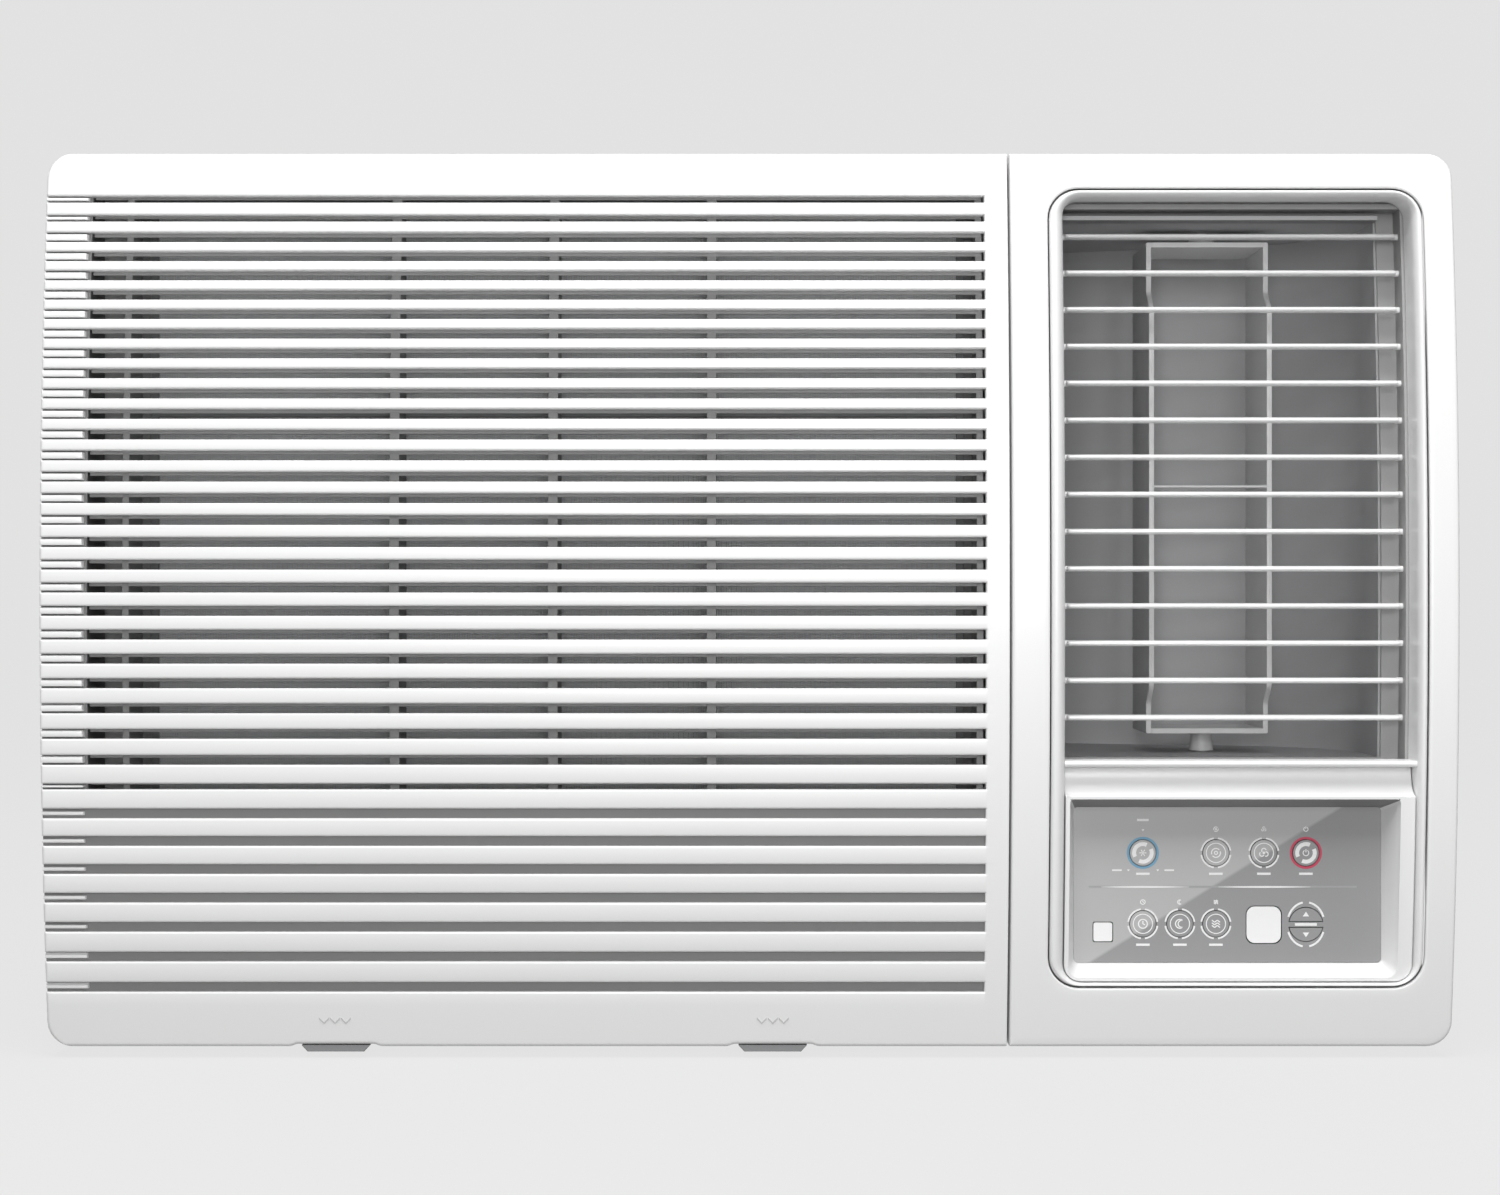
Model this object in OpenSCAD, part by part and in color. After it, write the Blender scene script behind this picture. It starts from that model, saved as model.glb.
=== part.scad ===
// Window air conditioner: cabinet, slide-out chassis, front panels, controls, louvres and refrigeration parts.
// Frame: X to the right, front faces -Y, Z up; origin at the centre of the cabinet's base.

/* [Overall] */
// Width of the front
width = 668; // [660:1:680]
// Height from the base to the top of the front
height = 430; // [428:1:436]
// Depth from the crown of the front to the back edge of the cabinet
depth = 700; // [696:1:720]

/* [Front] */
// Height of the front's bottom edge over the cabinet's base
front_lift = 5; // [4:0.5:6]
// Radius of the front's crown, about a horizontal axis
crown_r = 1195; // [1150:5:1400]
// Radius of the front's outer corners
corner_r = 12; // [8:1:16]
// How far the front's edges reach back from the crown
front_depth = 66; // [66:1:67]
// Thickness of the panels' walls
wall = 2.5; // [2:0.1:3]
// Width of the seam between the two panels
seam = 1.2; // [0.8:0.1:1.6]
// Distance of that seam right of the middle
seam_x = 123; // [122.5:0.5:124]

/* [Intake grille] */
// Number of slots, the blind ones included
slot_count = 35; // [30:1:35]
// Number of slots at the bottom that are blind grooves
blind_count = 7; // [4:1:10]
// Height of a slot
slot_h = 4.7; // [3.5:0.1:5]
// Drop from the top edge to the first slot
first_slot_drop = 22.2; // [20:0.1:24]
// Pitch of the first two slots
slot_pitch = 9.15; // [8.5:0.05:9.15]
// How the pitch grows with the square of the slot's number
slot_growth = 0.00502; // [0.004:0.0001:0.00502]
// Right end of the slots
slot_end_x = 111.4; // [108:0.2:112]
// Depth of the bars between the slots
bar_depth = 8; // [5:0.5:9]

/* [Outlet] */
// Number of horizontal louvre blades
blade_count = 14; // [14:1:14]
// Pitch of the blades
blade_pitch = 17.85; // [17.5:0.05:17.9]
// Thickness of a blade
blade_t = 2.8; // [2:0.1:3]
// Depth of a blade
blade_depth = 13; // [11:0.5:13]
// How far the blades' pivots lie behind the crown
blade_setback = 32.5; // [32:0.5:33]

/* [Keys] */
// Radius of a round key
key_r = 6.15; // [5.5:0.05:6.2]

/* [Air moving] */
// Radius of the centrifugal wheel
blower_r = 105; // [95:1:106]
// Number of blades on the centrifugal wheel
blower_blades = 30; // [24:1:36]
// Radius of the condenser fan, its ring included
fan_r = 186; // [170:1:188]
// Number of blades on the condenser fan
fan_blades = 5; // [4:1:6]
// Radius of the motor's shaft
shaft_r = 6.35; // [6:0.05:6.5]

/* [Hidden] */
$fn = 64;
eps = 0.01;
run_fit = 0.06;    // radial clearance of a pin that turns in its hole
gap = 0.4;         // clearance between separate pieces
sheet = 1.2;       // thickness of sheet steel
half_w = width / 2;
front_y = -depth / 2;
back_y = depth / 2;
front_mid_z = (height + front_lift) / 2;
panel_back_y = front_y + front_depth;
crown_fn = 256;
far = 500;

// Cabinet and chassis
cab_half = half_w - 7;
cab_top = height - 6;
cab_front_y = panel_back_y + 5;
frame_y0 = panel_back_y + 0.5;
frame_y1 = frame_y0 + 4;
pan_half = cab_half - 5;
pan_z = sheet + gap;
pan_floor = pan_z + 1.5;
pan_rim = 25;
drain_x = 170;
drain_r = 6;
bulk_y = -125;
shroud_y = 205;

// Hinge of the intake grille
hinge_y = panel_back_y - 3;
hinge_z = height - 6;
hinge_pin_r = 1.5;
hinge_lug_r = 3.2;
hinge_xs = [-300, 90];

// Filter
filter_y0 = front_y + 45;
filter_y1 = filter_y0 + 6;
filter_x0 = -293;
filter_x1 = 107;
filter_z1 = 415;
rib_xs = [-168, -93, -18];
post_x = -313;     // left end of the open part of the slots
tab_xs = [rib_xs[1] - 104, rib_xs[1] + 104];

// Outlet opening, in the outlet panel and in the bezel
ring_x0 = 141.4;
ring_x1 = 320;
ring_z0 = 33.3;
ring_z1 = 413.2;
mouth_x0 = 149;
mouth_x1 = 315;
mouth_z0 = 35.8;
mouth_z1 = 409.3;
bezel_setback = 24;
flange_setback = 41;
flange_x1 = 305;
blade_x0 = 152.2;
blade_x1 = 311.5;
blade_top_z = 393.1;
pivot_pin_r = 1.5;
crank = 5;
crank_pin_r = 0.8;
rail_z = 140;

// Air path
duct_z0 = 141.5;
duct_z1 = 401.5;
duct_x1 = 304;
duct_t = 2;
bend_c = [214, -265];
bend_r = 90;
join_x = 130.4;
vane_x = 227;
vane_y = -245;
vane_half = 29;
vane_pin_r = 3;
axis_x = -85;
axis_z = 215;
scroll_y0 = -228;
scroll_y1 = -140;
wheel_y0 = -215;
wheel_y1 = -150;

// Control panel
face_y = front_y + 25;
face_x0 = 154.5;
face_x1 = 302;
face_z0 = 44;
face_z1 = 118.6;
row1_z = 96.7;
row2_z = 62.8;
row1_xs = [187.9, 222.8, 245.7, 265.8];
row2_xs = [187.9, 205.6, 222.8];
rocker_x = 265.8;
rocker_z = 62.5;
rocker_r = 8;
rocker_flat = 1.6;
display_c = [245.7, 62.3];
display_size = [16.5, 17.5];
receiver_c = [168.8, 58.9];
receiver_side = 9;
key_names = ["key_cool", "key_mode", "key_speed", "key_power", "key_timer", "key_sleep", "key_swing"];
key_places = concat([for (x = row1_xs) [x, row1_z]], [for (x = row2_xs) [x, row2_z]]);

// Coils
evap_y = [-272, -232];
cond_y = [290, 335];
tube_r = 4.5;
evap_rows = 10;
cond_rows = 10;

BLADE_NODES = [for (i = [1:blade_count]) str("louvre_blade_", i)];

// ---- Formulas ----

// Height of slot n: the pitches grow with the square of the slot's number
function slot_z(n) = height - first_slot_drop - slot_pitch * n - slot_growth * (n - 1) * n * (2 * n - 1) / 6;

// How far the crown has fallen back at height z
function sag(z) = crown_r - sqrt(crown_r * crown_r - pow(z - front_mid_z, 2));

// Points on an arc
function arc(c, r, a0, a1, n) = [for (i = [0:n]) c + r * [cos(a0 + (a1 - a0) * i / n), sin(a0 + (a1 - a0) * i / n)]];

// A rectangle with round corners, as points
function round_rect(x0, x1, z0, z1, r, n = 6) = concat(
    arc([x1 - r, z0 + r], r, -90, 0, n), arc([x1 - r, z1 - r], r, 0, 90, n),
    arc([x0 + r, z1 - r], r, 90, 180, n), arc([x0 + r, z0 + r], r, 180, 270, n));

// Height and depth of blade i
function blade_z(i) = blade_top_z - blade_pitch * (i - 1);
function blade_y(i) = front_y + blade_setback + sag(blade_z(i));

// Unit vector along v
function unit(v) = v / norm(v);

// A path whose corners are rounded by quadratic curves that start a distance r from each corner
function round_path(p, r, n = 5) = concat([p[0]],
    [for (i = [1:len(p) - 2], j = [0:n])
        let (a = p[i] + r * unit(p[i - 1] - p[i]), b = p[i] + r * unit(p[i + 1] - p[i]), t = j / n)
        (1 - t) * (1 - t) * a + 2 * t * (1 - t) * p[i] + t * t * b],
    [p[len(p) - 1]]);

// ---- Building blocks ----

module block(lo, hi) {
    translate(lo) cube(hi - lo);
}

module rod_x(x0, x1, y, z, r) {
    translate([x0, y, z]) rotate([0, 90, 0]) cylinder(r = r, h = x1 - x0);
}

module rod_y(y0, y1, x, z, r) {
    translate([x, y0, z]) rotate([-90, 0, 0]) cylinder(r = r, h = y1 - y0);
}

module rod_z(z0, z1, x, y, r) {
    translate([x, y, z0]) cylinder(r = r, h = z1 - z0);
}

// A flat outline in X and Z, extruded from y0 to y1
module slab(y0, y1, points) {
    translate([0, y1, 0]) rotate([90, 0, 0]) linear_extrude(y1 - y0) polygon(points);
}

// Everything that lies more than "inset" behind the crowned surface
module behind_crown(inset) {
    translate([-far, front_y + crown_r, front_mid_z]) rotate([0, 90, 0])
        cylinder(r = crown_r - inset, h = 2 * far, $fn = crown_fn);
}

// A round-cornered prism between two crowned surfaces
module crowned_slab(inset0, inset1, points) {
    difference() {
        intersection() {
            slab(front_y - 1, panel_back_y, points);
            behind_crown(inset0);
        }
        behind_crown(inset1);
    }
}

// A round-cornered prism from a crowned front face to a flat back at y1
module crowned_block(inset, y1, points) {
    intersection() {
        slab(front_y - 1, y1, points);
        behind_crown(inset);
    }
}

// One tube swept along a path, with flat ends
module pipe(path, r, sides = 10) {
    last = len(path) - 1;
    lead = unit([0.31, 0.57, 0.76]);
    ring = [for (i = [0:last])
        let (t = unit(path[min(i + 1, last)] - path[max(i - 1, 0)]), u = unit(cross(t, lead)), v = cross(t, u))
        for (k = [0:sides - 1]) path[i] + r * (cos(360 * k / sides) * u + sin(360 * k / sides) * v)];
    skin = [for (i = [0:last - 1], k = [0:sides - 1])
        let (a = i * sides + k, b = i * sides + (k + 1) % sides) [a, b, b + sides, a + sides]];
    polyhedron(ring, concat(skin, [[for (k = [sides - 1:-1:0]) k]], [[for (k = [0:sides - 1]) last * sides + k]]));
}

// ---- Cabinet ----

module cabinet_shell() {
    color("gainsboro") difference() {
        block([-cab_half, cab_front_y, 0], [cab_half, back_y, cab_top]);
        block([-cab_half + sheet, cab_front_y - 1, sheet], [cab_half - sheet, back_y - sheet, cab_top - sheet]);
        block([-cab_half + 14, back_y - 2, sheet], [cab_half - 14, back_y + 1, cab_top - 14]);
        // air slots in the sides and the top
        for (side = [-1, 1], i = [0:13], j = [0:1])
            block([side * cab_half - 3, 150 + 85 * j, 70 + 22 * i], [side * cab_half + 3, 215 + 85 * j, 76 + 22 * i]);
        for (i = [0:9], j = [0:2])
            block([-255 + 190 * j, 150 + 18 * i, cab_top - 3], [-125 + 190 * j, 156 + 18 * i, cab_top + 1]);
        // holes for side curtains, for the top rail and for the base screws
        for (side = [-1, 1], z = [60, 364])
            rod_x(side * cab_half - 3, side * cab_half + 3, -190, z, 2.5);
        for (x = [-200, 200])
            rod_z(cab_top - 3, cab_top + 1, x, -190, 2.5);
        for (side = [-1, 1], y = [-240, -100])
            rod_x(side * cab_half - 3, side * cab_half + 3, y, 16, 2.05);
    }
}

module cabinet_screws() {
    color("silver") for (side = [-1, 1], y = [-240, -100]) {
        rod_x(side > 0 ? cab_half : -cab_half - 2, side > 0 ? cab_half + 2 : -cab_half, y, 16, 4.5);
        rod_x(side > 0 ? cab_half - 3 : -cab_half, side > 0 ? cab_half : -cab_half + 3, y, 16, 2);
    }
}

// ---- Chassis ----

module base_pan() {
    pan_back = back_y - 5;
    color("darkgray") difference() {
        union() {
            block([-pan_half, frame_y1, pan_z], [pan_half, pan_back, pan_z + pan_rim]);
            rod_y(pan_back - 1.5, back_y - 0.4, drain_x, pan_z + 11, drain_r + 2);
        }
        block([-pan_half + 1.5, frame_y1 + 1.5, pan_floor], [pan_half - 1.5, pan_back - 1.5, pan_z + pan_rim + 1]);
        rod_y(pan_back - 2, back_y, drain_x, pan_z + 11, drain_r);
    }
}

module bulkhead() {
    color("lightgray") difference() {
        block([-pan_half + 3, bulk_y, pan_floor], [pan_half - 3, bulk_y + 3, cab_top - 8]);
        rod_y(bulk_y - 1, bulk_y + 4, axis_x, axis_z, 15);
        for (x = [262, 284])
            rod_y(bulk_y - 1, bulk_y + 4, x, 350, 8);
    }
}

// Outline of the blower's scroll, grown by t
function scroll(t) = concat(
    [for (i = [0:26]) let (a = -36 - 234 * i / 26, r = 124 + 62 * i / 26 + t)
        [axis_x + r * cos(a), axis_z + r * sin(a)]],
    [[join_x, axis_z + 186 + t], [join_x, axis_z - 73.5 - t]]);

module blower_housing() {
    color("whitesmoke") difference() {
        slab(scroll_y0, scroll_y1, scroll(2));
        intersection() {
            slab(scroll_y0 + 2, scroll_y1 - 2, scroll(0));
            block([-far, scroll_y0 + 2, 0], [join_x - eps, scroll_y1 - 2, 420]);
        }
        block([join_x - 5, scroll_y0 + 2, duct_z0], [join_x + 1, scroll_y1 - 2, duct_z1 - 0.5]);
        rod_y(scroll_y0 - 1, scroll_y0 + 3, axis_x, axis_z, 88);
        rod_y(scroll_y1 - 3, scroll_y1 + 1, axis_x, axis_z, 12);
    }
}

// Plan of the duct, grown by t: front mouth, straight side, bend, and back wall to the blower
function duct_plan(t) = concat(
    [[150 - t, front_y], [duct_x1 + t, front_y]],
    arc(bend_c, bend_r + t, 0, 90, 10),
    [[join_x + 0.6, scroll_y1 - 2 + t], [join_x + 0.6, scroll_y0 + 2 - t], [150 - t, scroll_y0 + 2 - t]]);

module air_chute() {
    color("gray") difference() {
        intersection() {
            translate([0, 0, duct_z0 - duct_t]) linear_extrude(duct_z1 - duct_z0 + 2 * duct_t)
                polygon(duct_plan(duct_t));
            behind_crown(flange_setback + 2 + gap);
        }
        difference() {
            translate([0, 0, duct_z0]) linear_extrude(duct_z1 - duct_z0) polygon(duct_plan(0));
            block([-far, front_y, 0], [join_x + 0.6 - eps, back_y, cab_top]);
        }
        block([join_x - 1, scroll_y0 + 2, duct_z0], [join_x + 6, scroll_y1 - 2, duct_z1]);
        rod_z(duct_z0 - 3, duct_z0 + 1, vane_x, vane_y, vane_pin_r + run_fit);
        rod_z(duct_z1 - 1, duct_z1 + 3, vane_x, vane_y, vane_pin_r + run_fit);
    }
}

// ---- Coils ----

// Heights of a coil's tubes, and their two rows in depth
function coil_z(z0, z1, rows, i) = z0 + (z1 - z0) * (i + 0.5) / rows;
function coil_y(y, j) = y[0] + (y[1] - y[0]) * (0.25 + 0.5 * j);

// The fin pack with a bore for each tube
module fin_pack(x0, x1, y, z0, z1, rows) {
    difference() {
        block([x0, y[0], z0], [x1, y[1], z1]);
        for (i = [0:rows - 1], j = [0:1])
            rod_x(x0 - 1, x1 + 1, coil_y(y, j), coil_z(z0, z1, rows, i), tube_r);
    }
}

// Straight tubes and the return bends that join them into one path per row
module tube_run(x0, x1, y, z0, z1, rows) {
    pitch = (z1 - z0) / rows;
    for (j = [0:1]) {
        for (i = [0:rows - 1])
            rod_x(x0, x1, coil_y(y, j), coil_z(z0, z1, rows, i), tube_r);
        for (i = [0:rows - 2])
            translate([i % 2 == 0 ? x0 : x1, coil_y(y, j), coil_z(z0, z1, rows, i) + pitch / 2])
                rotate([90, i % 2 == 0 ? 180 : 0, 0]) rotate([0, 0, -90])
                    rotate_extrude(angle = 180) translate([pitch / 2, 0]) circle(tube_r);
    }
}

module evaporator_fins() {
    color("lightsteelblue") fin_pack(-282, 92, evap_y, 30, 400, evap_rows);
}

module evaporator_tubes() {
    color("peru") tube_run(-284, 94, evap_y, 30, 400, evap_rows);
}

module condenser_fins() {
    color("lightsteelblue") fin_pack(-292, 292, cond_y, 12, 410, cond_rows);
}

module condenser_tubes() {
    color("peru") tube_run(-294, 294, cond_y, 12, 410, cond_rows);
}

module refrigerant_pipes() {
    evap_in = [94.3, coil_y(evap_y, 1), coil_z(30, 400, evap_rows, 0)];
    evap_out = [94.3, coil_y(evap_y, 0), coil_z(30, 400, evap_rows, evap_rows - 1)];
    cond_in = [294.3, coil_y(cond_y, 0), coil_z(12, 410, cond_rows, cond_rows - 1)];
    cond_out = [294.3, coil_y(cond_y, 0), coil_z(12, 410, cond_rows, 0)];
    color("peru") {
        // suction: from the evaporator to the compressor's side
        pipe(round_path([evap_out, [140, evap_out[1], evap_out[2]], [140, evap_out[1], 412], [140, -165, 412],
            [262, -165, 412], [262, -165, 350], [262, -95, 350], [215, -95, 350], [215, -95, 250],
            [215, -36.5, 250]], 12), 5);
        // discharge: from the compressor's top to the condenser
        pipe(round_path([[215, 30, 312.3], [215, 30, cond_in[2]], [310, 30, cond_in[2]],
            [310, cond_in[1], cond_in[2]], cond_in], 7), 4);
        // liquid line: from the condenser back to the evaporator
        pipe(round_path([cond_out, [309, cond_out[1], cond_out[2]], [309, -60, cond_out[2]], [309, -60, 350],
            [284, -60, 350], [284, -150, 350], [284, -150, 414], [125, -150, 414], [125, evap_in[1], 414],
            [125, evap_in[1], evap_in[2]], evap_in], 6), 3);
    }
}

// ---- Outdoor side ----

module fan_shroud() {
    color("lightgray") difference() {
        union() {
            block([-pan_half + 4, shroud_y, pan_floor], [pan_half - 4, shroud_y + 2, cab_top - 8]);
            rod_y(shroud_y - 40, shroud_y, axis_x, axis_z, fan_r + 9);
        }
        rod_y(shroud_y - 41, shroud_y + 3, axis_x, axis_z, fan_r + 6);
        for (z = [coil_z(12, 410, cond_rows, 0), coil_z(12, 410, cond_rows, cond_rows - 1)])
            block([303, shroud_y - 1, z - 7], [pan_half, shroud_y + 3, z + 7]);
    }
}

module fan_motor() {
    color("dimgray") difference() {
        union() {
            rod_y(-100, 0, axis_x, axis_z, 58);
            rod_y(-112, -100, axis_x, axis_z, 22);
            rod_y(0, 12, axis_x, axis_z, 22);
            rod_y(-58, -42, axis_x, axis_z, 62);
        }
        rod_y(-113, 13, axis_x, axis_z, shaft_r + run_fit);
    }
}

module motor_bracket() {
    color("silver") difference() {
        union() {
            block([axis_x - 60, -95, pan_floor], [axis_x + 60, -5, pan_floor + 3]);
            for (y = [-92, -20])
                block([axis_x - 60, y, pan_floor], [axis_x + 60, y + 12, axis_z - 20]);
        }
        rod_y(-100, 0, axis_x, axis_z, 58.3);
        for (x = [axis_x - 48, axis_x + 48], y = [-70, -30])
            rod_z(pan_floor - 1, pan_floor + 4, x, y, 3);
    }
}

module motor_shaft() {
    color("silver") rod_y(wheel_y1 - 18, 189, axis_x, axis_z, shaft_r);
}

module blower_wheel() {
    color("dimgray") difference() {
        union() {
            rod_y(wheel_y1 - 3, wheel_y1, axis_x, axis_z, blower_r);
            rod_y(wheel_y1 - 18, wheel_y1 + 6, axis_x, axis_z, 15);
            difference() {
                rod_y(wheel_y0, wheel_y0 + 4, axis_x, axis_z, blower_r);
                rod_y(wheel_y0 - 1, wheel_y0 + 5, axis_x, axis_z, blower_r - 16);
            }
            for (i = [0:blower_blades - 1])
                translate([axis_x, 0, axis_z]) rotate([0, 360 * i / blower_blades, 0])
                    translate([blower_r - 8.5, 0, 0]) rotate([0, 35, 0])
                        block([-8, wheel_y0 + 2, -0.7], [8, wheel_y1 - 1, 0.7]);
        }
        rod_y(wheel_y1 - 19, wheel_y1 + 7, axis_x, axis_z, shaft_r);
    }
}

module condenser_fan() {
    color("darkslategray") difference() {
        union() {
            rod_y(142, 188, axis_x, axis_z, 34);
            difference() {
                rod_y(174, 186, axis_x, axis_z, fan_r);
                rod_y(173, 187, axis_x, axis_z, fan_r - 3);
            }
            for (i = [0:fan_blades - 1])
                translate([axis_x, 0, axis_z]) rotate([0, 360 * i / fan_blades, 0])
                    translate([0, 165, 0]) rotate([24, 0, 0])
                        block([30, -1.2, -42], [fan_r - 10, 1.2, 42]);
            for (i = [0:fan_blades - 1])
                translate([axis_x, 0, axis_z]) rotate([0, 360 * i / fan_blades, 0])
                    block([fan_r - 14, 176, -6], [fan_r - 1, 184, 6]);
        }
        rod_y(141, 190, axis_x, axis_z, shaft_r);
    }
}

module compressor() {
    // side view of the can: domed bottom, straight wall, domed top
    can = concat([[0, 52]], [for (i = [0:8]) [66 * sin(90 * i / 8), 78 - 26 * cos(90 * i / 8)]],
        [for (i = [0:8]) [66 * cos(90 * i / 8), 270 + 34 * sin(90 * i / 8)]], [[6, 312], [0, 312]]);
    color("black") translate([215, 30, 0]) rotate_extrude() polygon(can);
    color("black") difference() {
        block([145, -35, 48], [285, 95, 54]);
        for (x = [156, 274], y = [-24, 84])
            rod_z(47, 55, x, y, 7);
    }
}

module compressor_mounts() {
    color("darkslategray") for (x = [156, 274], y = [-24, 84]) {
        rod_z(pan_floor, 48, x, y, 11);
        rod_z(48, 60, x, y, 6.5);
    }
}

// ---- Front ----

module front_frame() {
    color("white") difference() {
        union() {
            block([-half_w + 4, frame_y0, pan_z], [half_w - 4, frame_y1, hinge_z - 6]);
            for (x = hinge_xs) {
                block([x - 2, hinge_y - hinge_lug_r, hinge_z - 24], [x + 2, frame_y0 + 1, hinge_z - 6]);
                block([x - 2, hinge_y - hinge_lug_r, hinge_z - 7], [x + 2, hinge_y + hinge_lug_r, hinge_z]);
                rod_x(x - 2, x + 2, hinge_y, hinge_z, hinge_lug_r);
            }
        }
        block([-300, frame_y0 - 1, 25], [112, frame_y1 + 1, 405]);
        block([140, frame_y0 - 1, 135], [312, frame_y1 + 1, 408]);
        block([150, frame_y0 - 1, 40], [310, frame_y1 + 1, 110]);
        for (x = hinge_xs)
            rod_x(x - 3, x + 3, hinge_y, hinge_z, hinge_pin_r);
    }
}

module hinge_pins() {
    color("silver") for (x = hinge_xs)
        rod_x(x - 7, x + 7, hinge_y, hinge_z, hinge_pin_r);
}

// Outline of the whole front, moved in by t
function front_outline(t) = round_rect(-half_w + t, half_w - t, front_lift + t, height - t, corner_r - t);

// A hollow crowned panel between x0 and x1, with a front wall of the given thickness
module panel(x0, x1, front_t) {
    difference() {
        intersection() {
            crowned_block(0, panel_back_y, front_outline(0));
            block([x0, front_y - 1, 0], [x1, panel_back_y, height + 1]);
        }
        intersection() {
            crowned_block(front_t, panel_back_y + 1, front_outline(wall));
            block([x0 + wall, front_y - 1, 0], [x1 - wall, panel_back_y + 1, height + 1]);
        }
    }
}

// A rib behind the grille, from the bars back to y1
module grille_rib(x0, x1, y1, z0 = 8, z1 = 424) {
    intersection() {
        block([x0, front_y, z0], [x1, y1, z1]);
        behind_crown(bar_depth - 0.5);
    }
}

module intake_grille() {
    right = seam_x - seam / 2;
    blind_from = slot_count - blind_count;
    color("white") difference() {
        union() {
            difference() {
                panel(-half_w, right, bar_depth);
                // open slots; left of the post they go on as grooves that cross the panel's edge
                for (n = [0:blind_from - 1]) {
                    h = n < 2 ? 3.2 : n == blind_from - 1 ? 2.8 : slot_h;
                    block([post_x, front_y - 1, slot_z(n) - h / 2],
                        [slot_end_x, front_y + sag(slot_z(n)) + bar_depth + 1, slot_z(n) + h / 2]);
                }
                // blind grooves
                difference() {
                    for (n = [0:slot_count - 1]) {
                        h = n < 2 ? 3.2 : n == blind_from - 1 ? 2.8 : slot_h;
                        block([-far, front_y - 1, slot_z(n) - h / 2],
                            [n < blind_from ? post_x : slot_end_x, front_y + 30, slot_z(n) + h / 2]);
                    }
                    behind_crown(4);
                }
            }
            for (x = rib_xs)
                grille_rib(x - 2.2, x + 2.2, front_y + 42);
            grille_rib(post_x - 3, post_x, front_y + 50);
            // channels that guide the filter
            for (side = [-1, 1]) {
                x = side < 0 ? filter_x0 - gap : filter_x1 + gap;
                grille_rib(min(x, x + 3 * side), max(x, x + 3 * side), filter_y1 + 2);
                for (y = [filter_y0 - 1.9, filter_y1 + gap])
                    block([min(x + 3 * side, x - 4 * side), y, 8], [max(x + 3 * side, x - 4 * side), y + 1.5, 424]);
            }
            // hinge lugs, either side of each lug on the front frame
            for (x = hinge_xs, side = [-1, 1]) {
                rod_x(x + side * 5 - 2.5, x + side * 5 + 2.5, hinge_y, hinge_z, hinge_lug_r);
                block([x + side * 5 - 2.5, hinge_y - hinge_lug_r, hinge_z], [x + side * 5 + 2.5, panel_back_y,
                    height - wall + 0.5]);
            }
        }
        for (x = hinge_xs)
            rod_x(x - 8, x + 8, hinge_y, hinge_z, hinge_pin_r + run_fit);
        // slot for the filter, notches over its tabs, and a finger groove in the left side
        block([filter_x0 - 1, filter_y0 - 0.6, 0], [filter_x1 + 1, filter_y1 + 0.6, front_lift + wall + 0.6]);
        for (x = tab_xs)
            block([x - 20, front_y, 0], [x + 20, filter_y1, front_lift + 1.2]);
        block([-half_w - 1, front_y + 24, 138], [-half_w + 1, front_y + 44, 164]);
    }
}

module filter_frame() {
    z0 = front_lift + 0.3;
    color("darkgray") {
        difference() {
            union() {
                block([filter_x0, filter_y0, z0], [filter_x1, filter_y1, filter_z1]);
                for (x = tab_xs)
                    slab(front_y + 19.5, filter_y1,
                        [[x - 13.5, 2.5], [x + 13.5, 2.5], [x + 16.5, z0 + 0.4], [x - 16.5, z0 + 0.4]]);
            }
            difference() {
                block([filter_x0 + 7, filter_y0 - 1, z0 + 8], [filter_x1 - 7, filter_y1 + 1, filter_z1 - 7]);
                for (x = rib_xs)
                    block([x - 1.5, filter_y0, 0], [x + 1.5, filter_y0 + 2.4, height]);
                for (i = [1:3])
                    block([filter_x0, filter_y0, 102 * i], [filter_x1, filter_y0 + 2.4, 102 * i + 3]);
            }
        }
    }
}

module filter_mesh() {
    color("slategray")
        block([filter_x0 + 7, filter_y0 + 2.4, front_lift + 8.3], [filter_x1 - 7, filter_y0 + 3.2, filter_z1 - 7]);
}

module outlet_panel() {
    left = seam_x + seam / 2;
    color("white") difference() {
        panel(left, half_w, 3);
        slab(front_y - 2, front_y + 30, round_rect(ring_x0, ring_x1, ring_z0, ring_z1, 15));
        rod_z(0, front_lift + wall + 1, 290, -310, 8.2);
    }
}

module cord_grommet() {
    color("dimgray") difference() {
        union() {
            rod_z(front_lift, front_lift + 12, 290, -310, 8);
            rod_z(front_lift + wall, front_lift + wall + 2, 290, -310, 11);
        }
        rod_z(front_lift - 1, front_lift + 13, 290, -310, 4.5);
    }
}

module outlet_bezel() {
    color("white") {
        // flange in the panel's opening, set back, and the raised rim
        difference() {
            union() {
                crowned_slab(1.5, 4.5, round_rect(ring_x0 + gap, ring_x1 - gap, ring_z0 + gap, ring_z1 - gap, 14.6));
                crowned_slab(0.2, bezel_setback,
                    round_rect(mouth_x0 - 3, mouth_x1 + 3, ring_z0 + 1.4, mouth_z1 + 2.2, 12));
            }
            slab(front_y - 2, front_y + 60, round_rect(mouth_x0, mouth_x1, mouth_z0, mouth_z1, 9));
        }
        // rail between the outlet and the controls
        crowned_slab(4, bezel_setback, [[mouth_x0 - 1, rail_z - 1.5], [mouth_x1 + 1, rail_z - 1.5],
            [mouth_x1 + 1, rail_z + 1.5], [mouth_x0 - 1, rail_z + 1.5]]);
    }
}

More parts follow.
